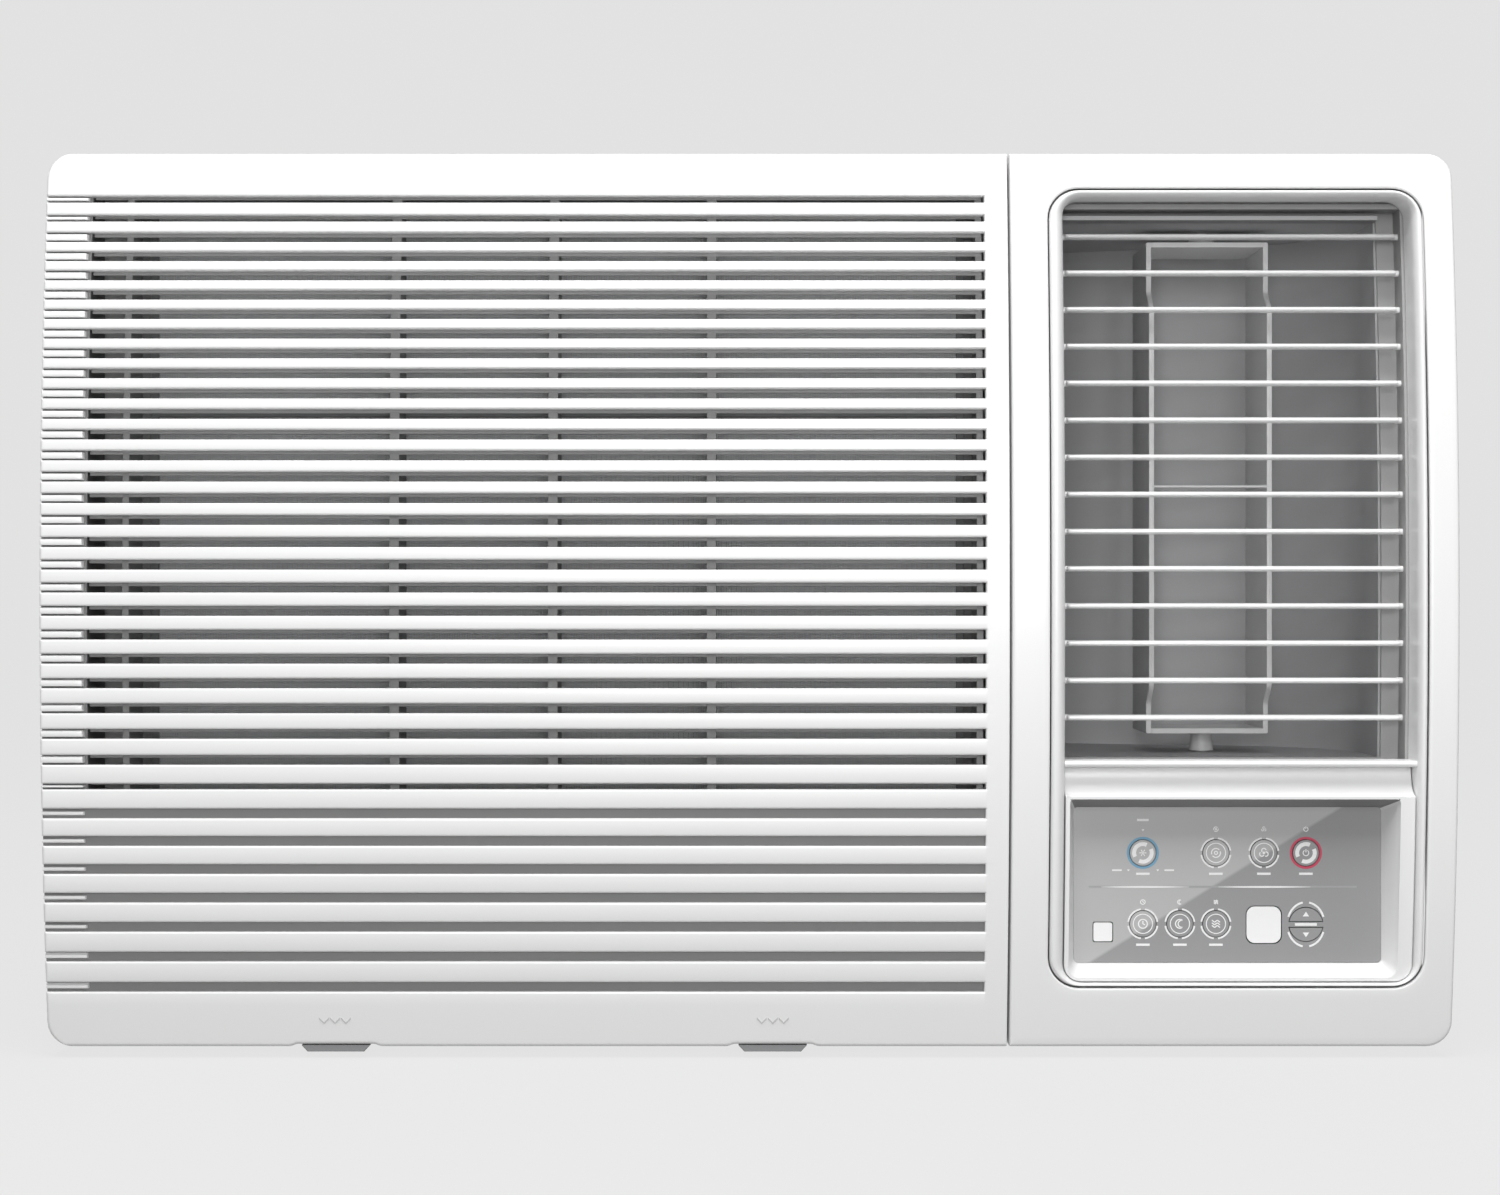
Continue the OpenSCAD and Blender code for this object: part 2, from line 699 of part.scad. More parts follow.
module louvre_frame() {
    x0 = mouth_x0 - 1.5;
    x1 = mouth_x1 + 1;
    z0 = rail_z - 1.5;
    color("lightgray") difference() {
        crowned_slab(bezel_setback + gap, flange_setback + 2, [[x0, z0], [x1, z0], [x1, 408.5], [x0, 408.5]]);
        crowned_slab(bezel_setback, flange_setback,
            [[x0 + 2.2, z0 + 2], [x1 - 2.5, z0 + 2], [x1 - 2.5, 406], [x0 + 2.2, 406]]);
        slab(front_y, panel_back_y, [[152, duct_z0], [flange_x1, duct_z0], [flange_x1, duct_z1], [152, duct_z1]]);
        for (i = [1:blade_count])
            rod_x(x0 - 1, x1 + 1, blade_y(i), blade_z(i), pivot_pin_r + run_fit);
    }
}

// A horizontal louvre blade: thin body with round edges, two pivot pins and a crank pin for the link
module louvre_blade(i) {
    half = (blade_depth - blade_t) / 2;
    color("white") translate([0, blade_y(i), blade_z(i)]) {
        block([blade_x0, -half, -blade_t / 2], [blade_x1, half, blade_t / 2]);
        for (y = [-half, half])
            rod_x(blade_x0, blade_x1, y, 0, blade_t / 2);
        rod_x(mouth_x0 - 1.2, blade_x0 + 1, 0, 0, pivot_pin_r);
        rod_x(blade_x1 - 1, mouth_x1 + 0.7, 0, 0, pivot_pin_r);
        rod_x(150.2, blade_x0 + 1, crank, 0, crank_pin_r);
    }
}

module louvre_link() {
    low = blade_z(blade_count) - 3;
    top = blade_z(1) + 3;
    color("silver") difference() {
        crowned_slab(blade_setback + crank - 1.6, blade_setback + crank + 1.6,
            [[150.3, low], [151.7, low], [151.7, top], [150.3, top]]);
        for (i = [1:blade_count])
            rod_x(150, 152, blade_y(i) + crank, blade_z(i), crank_pin_r + run_fit);
    }
}

module swing_vane() {
    t = 2.4;
    z0 = 151.3;
    z1 = 394.9;
    // side view of a vane: its front edge steps back near both ends
    side = [[-210, z0], [-266, z0], [-266, 167], [-278, 173], [-278, 365], [-266, 372], [-266, z1], [-210, z1]];
    color("lightgray") {
        for (x = [vane_x - vane_half, vane_x + vane_half])
            translate([x - t / 2, 0, 0]) rotate([90, 0, 90]) linear_extrude(t) polygon(side);
        for (z = [z0, z1 - t])
            block([vane_x - vane_half, -266, z], [vane_x + vane_half, -210, z + t]);
        block([vane_x - vane_half, -278, 272.8], [vane_x + vane_half, -274, 274]);
        rod_z(z1 - 1, duct_z1 - 0.4, vane_x, vane_y, 5);
        rod_z(z1, duct_z1 + 2, vane_x, vane_y, vane_pin_r);
        rod_z(duct_z0 + 0.4, z0 + 1, vane_x, vane_y, 6);
        rod_z(131, z0, vane_x, vane_y, vane_pin_r);
    }
}

module swing_motor() {
    top = duct_z0 - duct_t;
    color("silver") difference() {
        union() {
            rod_z(top - 20, top, vane_x, vane_y, 17);
            block([vane_x - 22, vane_y - 5, top - 2], [vane_x + 22, vane_y + 5, top]);
        }
        rod_z(top - 11, top + 1, vane_x, vane_y, vane_pin_r + run_fit);
    }
}

// ---- Controls ----

module key_hole(i, y0, y1, r) {
    rod_y(y0, y1, key_places[i][0], key_places[i][1], r);
}

// Outline of half of the up and down rocker: a disc of radius r, cut off at a height "flat" from its middle
function rocker_half(side, r, flat) = [for (p = arc([0, 0], r, asin(flat / r), 180 - asin(flat / r), 14))
    [rocker_x + p[0], rocker_z + side * p[1]]];

module control_openings(y0, y1, grow) {
    for (i = [0:len(key_places) - 1])
        key_hole(i, y0, y1, key_r + grow);
    for (side = [-1, 1])
        slab(y0, y1, rocker_half(side, rocker_r + grow, rocker_flat - grow));
    slab(y0, y1, round_rect(display_c[0] - display_size[0] / 2 - grow, display_c[0] + display_size[0] / 2 + grow,
        display_c[1] - display_size[1] / 2 - grow, display_c[1] + display_size[1] / 2 + grow, 4));
    slab(y0, y1, round_rect(receiver_c[0] - receiver_side / 2 - grow, receiver_c[0] + receiver_side / 2 + grow,
        receiver_c[1] - receiver_side / 2 - grow, receiver_c[1] + receiver_side / 2 + grow, 1));
}

module control_housing() {
    x0 = mouth_x0 + gap;
    x1 = mouth_x1 - gap;
    z0 = mouth_z0 + gap;
    z1 = rail_z - 1.5 - gap;
    color("whitesmoke") difference() {
        crowned_block(3, face_y + 7, round_rect(x0, x1, z0, z1, 8));
        // recess with sloped right and lower walls
        translate([0, 0, 120]) mirror([0, 0, 1]) linear_extrude(76)
            polygon([[x0 + 2, front_y - 1], [x1 - 7, front_y - 1], [face_x1, face_y + 0.8], [x0 + 5, face_y + 0.8]]);
        translate([x0 + 2, 0, 0]) rotate([90, 0, 90]) linear_extrude(x1 - x0 - 9)
            polygon([[front_y - 1, 38], [face_y + 0.8, face_z0], [face_y + 0.8, 60], [front_y - 1, 60]]);
        // cove over the recess
        translate([x0 + 2, 0, 0]) rotate([90, 0, 90]) linear_extrude(x1 - x0 - 4)
            polygon(concat([[front_y - 1, z1 + 1], [front_y - 1, 123.6]], [for (a = [0:15:90])
                [front_y + 8 + 10 * sin(a), z1 - 2.4 - 9.5 * cos(a)]], [[front_y + 18, z1 + 1]]));
        // hollow behind, for the keys' flanges
        slab(face_y + 4.3, face_y + 8, round_rect(face_x0 + 2, face_x1 - 2, face_z0 + 2, face_z1 + 3, 4));
        control_openings(face_y, face_y + 5, gap);
    }
}

module control_overlay() {
    color("darkgray") difference() {
        slab(face_y, face_y + 0.8, round_rect(face_x0 + 0.3, face_x1 - 0.3, face_z0 + 0.3, face_z1, 2));
        control_openings(face_y - 1, face_y + 2, gap);
    }
}

module round_key(i) {
    color("darkgray") {
        key_hole(i, face_y - 0.2, face_y + 4.6, key_r);
        key_hole(i, face_y + 4.6, face_y + 5.8, key_r + 1.3);
        key_hole(i, face_y + 5.8, face_y + 10, 2);
    }
}

module rocker_key(side) {
    color("darkgray") {
        slab(face_y - 0.2, face_y + 4.7, rocker_half(side, rocker_r, rocker_flat));
        slab(face_y + 4.6, face_y + 5.8, rocker_half(side, rocker_r + 1.2, rocker_flat - 0.5));
        rod_y(face_y + 5.8, face_y + 10, rocker_x, rocker_z + side * 5, 2);
    }
}

module display_window() {
    w = display_size / 2;
    color("white") slab(face_y + 0.1, face_y + 4, round_rect(display_c[0] - w[0], display_c[0] + w[0],
        display_c[1] - w[1], display_c[1] + w[1], 4));
}

module receiver_window() {
    h = receiver_side / 2;
    color("white") slab(face_y + 0.1, face_y + 4, round_rect(receiver_c[0] - h, receiver_c[0] + h,
        receiver_c[1] - h, receiver_c[1] + h, 1));
}

module control_box() {
    lo = [140, -262, 30];
    hi = [312, -175, 114];
    color("silver") difference() {
        block(lo, hi);
        block(lo + [1.2, -1, 1.2], hi - [1.2, 1.2, 1.2]);
    }
}

module control_electronics() {
    // key board behind the keys, with one switch behind each key
    color("darkgreen") difference() {
        block([157, face_y + 12.8, 43], [300, face_y + 14.4, 120]);
        for (x = [161, 296], z = [47, 116])
            rod_y(face_y + 12, face_y + 15, x, z, 1.6);
    }
    color("darkgreen") for (p = concat(key_places, [[rocker_x, rocker_z + 5], [rocker_x, rocker_z - 5]]))
        block([p[0] - 3, face_y + 11, p[1] - 3], [p[0] + 3, face_y + 12.8, p[1] + 3]);
    // power board, relay and capacitor in the metal box
    color("darkgreen") block([150, -185, 36], [270, -183, 106]);
    color("black") block([160, -201, 60], [182, -185, 78]);
    color("silver") rod_z(36, 102, 292, -215, 17);
}

cabinet_shell();
cabinet_screws();
base_pan();
bulkhead();
blower_housing();
air_chute();
evaporator_fins();
evaporator_tubes();
condenser_fins();
condenser_tubes();
fan_shroud();
fan_motor();
motor_bracket();
motor_shaft();
blower_wheel();
condenser_fan();
compressor();
compressor_mounts();
refrigerant_pipes();
control_box();
control_electronics();
swing_motor();
front_frame();
intake_grille();
hinge_pins();
filter_frame();
filter_mesh();
outlet_panel();
outlet_bezel();
louvre_frame();
louvre_link();
swing_vane();
control_housing();
control_overlay();
display_window();
receiver_window();
cord_grommet();
rocker_key(1);  // key_up
rocker_key(-1);  // key_down
for (i = [0:len(key_names) - 1])
    round_key(i);
for (i = [1:blade_count])
    louvre_blade(i);
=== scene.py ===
"""Window air conditioner: the look of every piece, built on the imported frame.

Every length is in metres. X runs to the right, the front faces -Y and Z is up.
The two front panels and everything set into them follow one crown: a point that
lies "setback" behind the crowned surface at height z has
y = FRONT_Y + sag(z) + setback, and the meshes below are worked out in setback first.
"""

import logging
import math
from dataclasses import dataclass, field
from enum import Enum
from typing import Any, Callable, Iterable, Optional, Sequence

import bmesh
import bpy
import numpy as np
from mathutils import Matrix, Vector


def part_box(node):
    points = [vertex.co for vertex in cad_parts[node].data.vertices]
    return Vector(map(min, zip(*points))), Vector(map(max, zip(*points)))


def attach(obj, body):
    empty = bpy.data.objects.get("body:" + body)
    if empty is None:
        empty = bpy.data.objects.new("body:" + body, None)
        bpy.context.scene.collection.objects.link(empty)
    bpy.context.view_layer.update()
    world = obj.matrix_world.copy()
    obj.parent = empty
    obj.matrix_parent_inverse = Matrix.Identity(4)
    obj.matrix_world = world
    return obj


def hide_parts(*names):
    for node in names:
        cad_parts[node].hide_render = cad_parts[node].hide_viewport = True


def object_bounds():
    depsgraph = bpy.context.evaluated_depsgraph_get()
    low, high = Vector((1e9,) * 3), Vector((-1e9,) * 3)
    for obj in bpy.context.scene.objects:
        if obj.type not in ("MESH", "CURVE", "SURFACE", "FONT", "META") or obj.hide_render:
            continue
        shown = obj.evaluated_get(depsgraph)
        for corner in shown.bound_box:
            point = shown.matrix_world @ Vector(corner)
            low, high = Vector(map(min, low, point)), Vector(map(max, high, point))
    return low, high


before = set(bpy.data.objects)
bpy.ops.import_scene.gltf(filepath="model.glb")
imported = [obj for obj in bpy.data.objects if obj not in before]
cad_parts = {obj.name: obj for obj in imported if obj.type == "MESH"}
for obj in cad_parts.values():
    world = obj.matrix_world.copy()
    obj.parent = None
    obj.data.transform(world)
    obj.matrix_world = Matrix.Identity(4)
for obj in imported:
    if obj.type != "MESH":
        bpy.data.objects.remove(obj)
CAD_BOX = [list(corner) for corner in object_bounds()]
LOG = logging.getLogger("air_conditioner")
MM = 0.001
Array = np.ndarray
Material = bpy.types.Material

FRONT_Y = CAD_BOX[0][1]
PANEL_LO, PANEL_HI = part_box("intake_grille")
SHAFT_X, SHAFT_Z = -85 * MM, 215 * MM
OUTLET_LO, OUTLET_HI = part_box("outlet_panel")
MID_Z = (PANEL_LO.z + PANEL_HI.z) / 2
CROWN_R = 1.195
PANEL_BACK_Y = OUTLET_HI.y
WALL = 2.5 * MM


# ---------------------------------------------------------------- shape maths

def sag(z: Array) -> Array:
    """How far the crown has fallen back at height z: R less the root of (R^2 less (z - middle)^2)."""
    return CROWN_R - np.sqrt(CROWN_R ** 2 - (np.asarray(z, float) - MID_Z) ** 2)


def round_over(distance: Array, radius: float) -> Array:
    """Depth of a rounded edge at a distance from it: radius less the root of radius squared less
    (radius - distance) squared, and nothing further in than the radius."""
    d = np.clip(distance, 0.0, radius)
    return radius - np.sqrt(np.maximum(radius ** 2 - (radius - d) ** 2, 0.0))


def smooth(t: Array) -> Array:
    """The smooth step t * t * (3 - 2 t), held between 0 and 1."""
    t = np.clip(t, 0.0, 1.0)
    return t * t * (3.0 - 2.0 * t)


def merged_lines(*groups: Iterable[float], least: float = 1e-5) -> Array:
    """Grid lines from several groups, sorted, with any two closer than "least" made one."""
    lines = np.unique(np.concatenate([np.atleast_1d(np.asarray(g, float)) for g in groups]))
    return lines[np.concatenate([[True], np.diff(lines) > least])]


def edge_lines(edge: float, radius: float, outward: float) -> Array:
    """Grid lines that draw a rounded edge: at it, and at growing distances up to the radius, on one side."""
    return edge + outward * radius * np.array([0.0, 0.04, 0.16, 0.36, 0.64, 1.0])


def box_distance(x: Array, z: Array, x0: float, x1: float, z0: float, z1: float) -> Array:
    """Distance of each point outside a rectangle: the length of what is left of (|p - centre| - half size)
    where that is positive, and minus the depth inside it."""
    qx = np.abs(x - (x0 + x1) / 2) - (x1 - x0) / 2
    qz = np.abs(z - (z0 + z1) / 2) - (z1 - z0) / 2
    return np.hypot(np.maximum(qx, 0), np.maximum(qz, 0)) + np.minimum(np.maximum(qx, qz), 0)


def rounded_loop(x0: float, x1: float, z0: float, z1: float, radii: Sequence[float],
                 corner: int = 10, side: int = 28) -> Array:
    """Points round a rectangle with a quarter circle at each corner.

    Args:
        x0, x1, z0, z1: The rectangle.
        radii: Corner radii, from lower right round to upper right, upper left and lower left.
        corner: Steps in each corner.
        side: Steps in each side.

    Returns:
        An array of (x, z), starting at the lower right corner and running anticlockwise seen from the front.
    """
    turn = np.linspace(0.0, math.pi / 2, corner + 1)
    corners = [(x1 - radii[0], z0 + radii[0], -math.pi / 2), (x1 - radii[1], z1 - radii[1], 0.0),
               (x0 + radii[2], z1 - radii[2], math.pi / 2), (x0 + radii[3], z0 + radii[3], math.pi)]
    arcs = [np.stack([cx + r * np.cos(a + turn), cz + r * np.sin(a + turn)], -1)
            for (cx, cz, a), r in zip(corners, radii)]
    parts = []
    share = np.linspace(0.0, 1.0, side + 1)[1:-1, None]
    for k, arc in enumerate(arcs):
        follow = arcs[(k + 1) % 4][0]
        parts += [arc, arc[-1] + (follow - arc[-1]) * share]
    return np.concatenate(parts)


def rounded_path(points: Sequence[Sequence[float]], radius: float, steps: int = 8) -> Array:
    """A path whose corners are quadratic curves, (1-t)^2 a + 2t(1-t) corner + t^2 b, between the points a
    and b that lie a radius before and after the corner."""
    p = np.asarray(points, float)
    t = np.linspace(0.0, 1.0, steps + 1)[:, None]
    out = [p[:1]]
    for before, here, after in zip(p[:-2], p[1:-1], p[2:]):
        a = here + radius * (before - here) / np.linalg.norm(before - here)
        b = here + radius * (after - here) / np.linalg.norm(after - here)
        out.append((1 - t) ** 2 * a + 2 * t * (1 - t) * here + t ** 2 * b)
    return np.concatenate(out + [p[-1:]])


def path_frames(path: Array) -> tuple[Array, Array]:
    """Two unit vectors square to a path at each of its points: the tangent crossed with one fixed
    direction that no stretch of the path follows, and the tangent crossed with that."""
    tangent = np.gradient(path, axis=0)
    tangent /= np.linalg.norm(tangent, axis=1, keepdims=True)
    u = np.cross(tangent, np.array([0.31, 0.57, 0.76]))
    u /= np.linalg.norm(u, axis=1, keepdims=True)
    return u, np.cross(tangent, u)


def grid_rim(grid: Array) -> Array:
    """The points round the border of a grid, in order."""
    return np.concatenate([grid[0, :-1], grid[:-1, -1], grid[-1, :0:-1], grid[:0:-1, 0]])


class Shape:
    """Grids, tubes and lids that are collected into one mesh."""

    def __init__(self) -> None:
        """Start with nothing."""
        self.points: list[Array] = []
        self.faces: list[Array] = []
        self.count = 0

    def add(self, points: Array, faces: Array) -> None:
        """Add points and the faces that join them.

        Args:
            points: An array (n, 3).
            faces: An array of quads or triangles that index those points.
        """
        self.points.append(np.asarray(points, float).reshape(-1, 3))
        self.faces.append(np.asarray(faces, int) + self.count)
        self.count += len(self.points[-1])

    def grid(self, p: Array, wrap_rows: bool = False, wrap_cols: bool = False, flip: bool = False,
             keep: Optional[Array] = None) -> None:
        """Add a grid of points as quads.

        Args:
            p: Points, an array (rows, columns, 3).
            wrap_rows: Join the last row to the first.
            wrap_cols: Join the last column to the first.
            flip: Turn the faces round.
            keep: Which cells to keep, or None for all.
        """
        rows, cols = p.shape[:2]
        i = np.arange(rows if wrap_rows else rows - 1)[:, None]
        j = np.arange(cols if wrap_cols else cols - 1)[None, :]
        i2, j2 = (i + 1) % rows, (j + 1) % cols
        quads = np.stack(np.broadcast_arrays(i * cols + j, i * cols + j2, i2 * cols + j2, i2 * cols + j), -1)
        quads = quads[keep] if keep is not None else quads.reshape(-1, 4)
        self.add(p, quads[:, ::-1] if flip else quads)

    def edges_of(self, hole: Array, front: Array, back: Array) -> None:
        """Join a front and a back grid by a wall between each open cell and a kept one.

        Args:
            hole: Which cells are open.
            front: Points of the front grid.
            back: Points of the back grid.
        """
        i, j = np.nonzero(hole[:, 1:] != hole[:, :-1])
        upright = (front[i, j + 1], front[i + 1, j + 1], back[i + 1, j + 1], back[i, j + 1])
        i, j = np.nonzero(hole[1:, :] != hole[:-1, :])
        level = (front[i + 1, j], front[i + 1, j + 1], back[i + 1, j + 1], back[i + 1, j])
        for corners in (upright, level):
            self.add(np.stack(corners, 1), np.arange(4 * len(corners[0])).reshape(-1, 4))

    def fan(self, ring: Array, flip: bool = False) -> None:
        """Close a ring of points with triangles to its middle."""
        n = len(ring)
        k = np.arange(n)
        tris = np.stack([k, (k + 1) % n, np.full(n, n)], -1)
        self.add(np.concatenate([ring, ring.mean(0, keepdims=True)]), tris[:, ::-1] if flip else tris)

    def solid(self, rings: Array, flip: bool = False) -> None:
        """A closed form lofted through rings of points, an array (rings, points, 3), with lids."""
        self.grid(rings, wrap_cols=True, flip=flip)
        self.fan(rings[0], flip=not flip)
        self.fan(rings[-1], flip=flip)

    def tube(self, path: Array, radius: Any, sides: int = 16) -> None:
        """A round tube along a path: each point plus radius times (cos a u + sin a v).

        Args:
            path: Points of the centre line, an array (n, 3).
            radius: One radius, or one for each point.
            sides: Points round the tube.
        """
        u, v = path_frames(path)
        a = np.linspace(0.0, 2 * math.pi, sides, endpoint=False)
        r = np.broadcast_to(np.asarray(radius, float), (len(path),))[:, None, None]
        c, s = np.cos(a)[None, :, None], np.sin(a)[None, :, None]
        self.solid(path[:, None] + r * (c * u[:, None] + s * v[:, None]))

    def revolve(self, profile: Array, centre: Sequence[float], axis: str = "Y", steps: int = 64) -> None:
        """Turn a profile of (radius, height) points round an axis through the centre: the point at angle a is
        radius (cos a, sin a) across the axis and height along it. A closed profile gives a closed ring."""
        a = np.linspace(0.0, 2 * math.pi, steps, endpoint=False)
        r, h = profile[:, 0][:, None], profile[:, 1][:, None]
        across, up = r * np.cos(a), r * np.sin(a)
        along = np.broadcast_to(h, across.shape)
        order = {"X": (along, across, up), "Y": (up, along, across), "Z": (across, up, along)}[axis]
        self.grid(np.stack(order, -1) + np.asarray(centre, float), wrap_cols=True)

    def turned_ring(self, profile: Array, centre: Sequence[float], axis: str = "Y", steps: int = 64) -> None:
        """A ring whose section is a closed loop of (radius, height) points."""
        self.revolve(np.concatenate([profile, profile[:1]]), centre, axis, steps)

    def block(self, lo: Sequence[float], hi: Sequence[float], ease: float = 0.0004) -> None:
        """A box with eased edges: two lids and a belt, each edge cut back by "ease" along all three axes."""
        lo, hi = np.asarray(lo, float), np.asarray(hi, float)
        e = min(ease, float((hi - lo).min()) * 0.3)
        loops, heights = [], [(lo[2], e), (lo[2] + e, 0.0), (hi[2] - e, 0.0), (hi[2], e)]
        for z, inset in heights:
            x0, x1, y0, y1 = lo[0] + inset, hi[0] - inset, lo[1] + inset, hi[1] - inset
            loops.append([(x0 + e, y0, z), (x1 - e, y0, z), (x1, y0 + e, z), (x1, y1 - e, z),
                          (x1 - e, y1, z), (x0 + e, y1, z), (x0, y1 - e, z), (x0, y0 + e, z)])
        self.solid(np.array(loops))

    def prism(self, loop: Array, y0: float, y1: float) -> None:
        """A plate cut from an outline of (x, z) points, from y0 to y1."""
        rings = [np.stack([loop[:, 0], np.full(len(loop), y), loop[:, 1]], -1) for y in (y0, y1)]
        self.solid(np.array(rings), flip=True)

    def object(self, name: str, material: Material, crease: float = 32.0, outward: bool = True,
               second: Optional[tuple[Material, Callable[[Array], Array]]] = None) -> bpy.types.Object:
        """Make the Blender object, weld its points and smooth its faces.

        Args:
            name: The piece's name.
            material: Its material.
            crease: Angle in degrees over which an edge stays sharp.
            outward: Recalculate the normals to point out, once the points are merged.
            second: Another material, with a test on face centres that says where it goes.

        Returns:
            The new object, linked to the scene.
        """
        mesh = bpy.data.meshes.new(name)
        faces = [f for block in self.faces for f in block.tolist()]
        mesh.from_pydata(np.concatenate(self.points).tolist(), [], faces)
        work = bmesh.new()
        work.from_mesh(mesh)
        bmesh.ops.remove_doubles(work, verts=work.verts, dist=2e-6)
        bmesh.ops.dissolve_degenerate(work, edges=work.edges, dist=1e-7)
        if outward:
            bmesh.ops.recalc_face_normals(work, faces=work.faces)
        work.to_mesh(mesh)
        work.free()
        mesh.polygons.foreach_set("use_smooth", np.ones(len(mesh.polygons), bool))
        mesh.set_sharp_from_angle(angle=math.radians(crease))
        mesh.materials.append(material)
        if second:
            centres = np.empty(3 * len(mesh.polygons))
            mesh.polygons.foreach_get("center", centres)
            mesh.materials.append(second[0])
            mesh.polygons.foreach_set("material_index", second[1](centres.reshape(-1, 3)).astype(int))
        thing = bpy.data.objects.new(name, mesh)
        bpy.context.scene.collection.objects.link(thing)
        return thing


# ---------------------------------------------------------------- materials

class Wire:
    """A shader socket that takes part in sums: an expression on wires adds its Math nodes."""

    def __init__(self, graph: "Graph", socket: bpy.types.NodeSocket) -> None:
        """Wrap an output socket of a graph."""
        self.graph, self.socket = graph, socket

    def _math(self, operation: str, *values: Any) -> "Wire":
        """One Math node on the given values."""
        return self.graph.node("ShaderNodeMath", {"operation": operation}, dict(enumerate(values)))

    def __add__(self, other: Any) -> "Wire":
        """Sum."""
        return self._math("ADD", self, other)

    def __sub__(self, other: Any) -> "Wire":
        """Difference."""
        return self._math("SUBTRACT", self, other)

    def __rsub__(self, other: Any) -> "Wire":
        """Difference, with this wire last."""
        return self._math("SUBTRACT", other, self)

    def __mul__(self, other: Any) -> "Wire":
        """Product."""
        return self._math("MULTIPLY", self, other)

    def __gt__(self, other: Any) -> "Wire":
        """One where this is greater, else nothing."""
        return self._math("GREATER_THAN", self, other)

    __radd__ = __add__
    __rmul__ = __mul__

    def sine(self) -> "Wire":
        """The sine."""
        return self._math("SINE", self)

    def limited(self) -> "Wire":
        """Held between 0 and 1."""
        return self.graph.node("ShaderNodeClamp", {}, {"Value": self})

    def absolute(self) -> "Wire":
        """Without its sign."""
        return self._math("ABSOLUTE", self)

    def larger(self, other: Any) -> "Wire":
        """The larger of two."""
        return self._math("MAXIMUM", self, other)


class Graph:
    """The node tree of one material, with its shader's sockets at hand."""

    def __init__(self, name: str) -> None:
        """Make a material that holds one Principled shader."""
        self.material = bpy.data.materials.new(name)
        self.material.use_nodes = True
        self.tree = self.material.node_tree
        self.shader = next(n for n in self.tree.nodes if n.type == "BSDF_PRINCIPLED")
        self._place: Optional[Wire] = None

    def node(self, kind: str, settings: dict[str, Any], inputs: dict[Any, Any], output: Any = 0) -> Wire:
        """Add any node.

        Args:
            kind: The node's type.
            settings: Properties that are set first.
            inputs: Values or wires by socket name or number.
            output: The output socket to return, by name or number.

        Returns:
            The output as a wire.
        """
        made = self.tree.nodes.new(kind)
        for key, value in settings.items():
            setattr(made, key, value)
        for key, value in inputs.items():
            if isinstance(value, Wire):
                self.tree.links.new(value.socket, made.inputs[key])
            else:
                made.inputs[key].default_value = value
        return Wire(self, made.outputs[output])

    def place(self) -> Wire:
        """Object coordinates."""
        if self._place is None:
            self._place = self.node("ShaderNodeTexCoord", {}, {}, "Object")
        return self._place

    def axes(self) -> tuple[Wire, Wire, Wire]:
        """X, Y and Z of the object coordinates."""
        split = self.node("ShaderNodeSeparateXYZ", {}, {"Vector": self.place()}, "X")
        outputs = split.socket.node.outputs
        return split, Wire(self, outputs["Y"]), Wire(self, outputs["Z"])

    def noise(self, scale: float, detail: float = 3.0, rough: float = 0.5) -> Wire:
        """Smooth noise between 0 and 1 on the object's coordinates."""
        return self.node("ShaderNodeTexNoise", {}, {"Vector": self.place(), "Scale": scale,
                         "Detail": detail, "Roughness": rough}, "Fac")

    def mix(self, share: Any, first: Any, second: Any) -> Wire:
        """A colour between two, by a share from 0 to 1."""
        rgba = [(*c[:3], 1.0) if not isinstance(c, Wire) else c for c in (first, second)]
        return self.node("ShaderNodeMix", {"data_type": "RGBA"}, {0: share, 6: rgba[0], 7: rgba[1]}, 2)

    def bump(self, height: Wire, distance: float, strength: float = 1.0) -> None:
        """Feed a height, times a distance in metres, to the shader's normal."""
        self.set("Normal", self.node("ShaderNodeBump", {}, {"Height": height, "Distance": distance,
                                                             "Strength": strength}, "Normal"))

    def set(self, socket: str, value: Any) -> None:
        """Set or link one of the shader's sockets."""
        if isinstance(value, Wire):
            self.tree.links.new(value.socket, self.shader.inputs[socket])
        elif isinstance(value, (tuple, list)):
            self.shader.inputs[socket].default_value = (*value[:3], 1.0)
        else:
            self.shader.inputs[socket].default_value = value


@dataclass(frozen=True)
class Moulded:
    """Moulded plastic: a fine spark-eroded grain, faint clouding of the colour and a soft sheen."""

    name: str
    colour: tuple[float, float, float]
    roughness: float = 0.38
    grain: float = 0.00002
    grain_scale: float = 1800.0
    clouding: float = 0.02
    coat: float = 0.0

    def material(self) -> Material:
        """Build the material."""
        g = Graph(self.name)
        cloud = g.noise(9.0, 4.0)
        dark = tuple(c * (1 - self.clouding) for c in self.colour)
        light = tuple(min(1.0, c * (1 + self.clouding)) for c in self.colour)
        g.set("Base Color", g.mix(cloud, dark, light))
        g.set("Roughness", (g.noise(60.0, 2.0) - 0.5) * 0.08 + self.roughness)
        g.set("Coat Weight", self.coat)
        g.set("Coat Roughness", 0.12)
        g.bump(g.noise(self.grain_scale, 2.0), self.grain)
        return g.material


@dataclass(frozen=True)
class CoatedSheet:
    """Powder-coated sheet steel: an orange-peel skin under faint patches of dust."""

    name: str
    colour: tuple[float, float, float]
    roughness: float = 0.46

    def material(self) -> Material:
        """Build the material."""
        g = Graph(self.name)
        dust = (g.noise(5.0, 6.0, 0.65) - 0.45) * 2.0
        worn = tuple(c * 0.93 for c in self.colour)
        g.set("Base Color", g.mix(dust.limited(), self.colour, worn))
        g.set("Roughness", g.noise(35.0, 3.0) * 0.12 + self.roughness)
        g.bump(g.noise(420.0, 2.0), 0.00006)
        return g.material


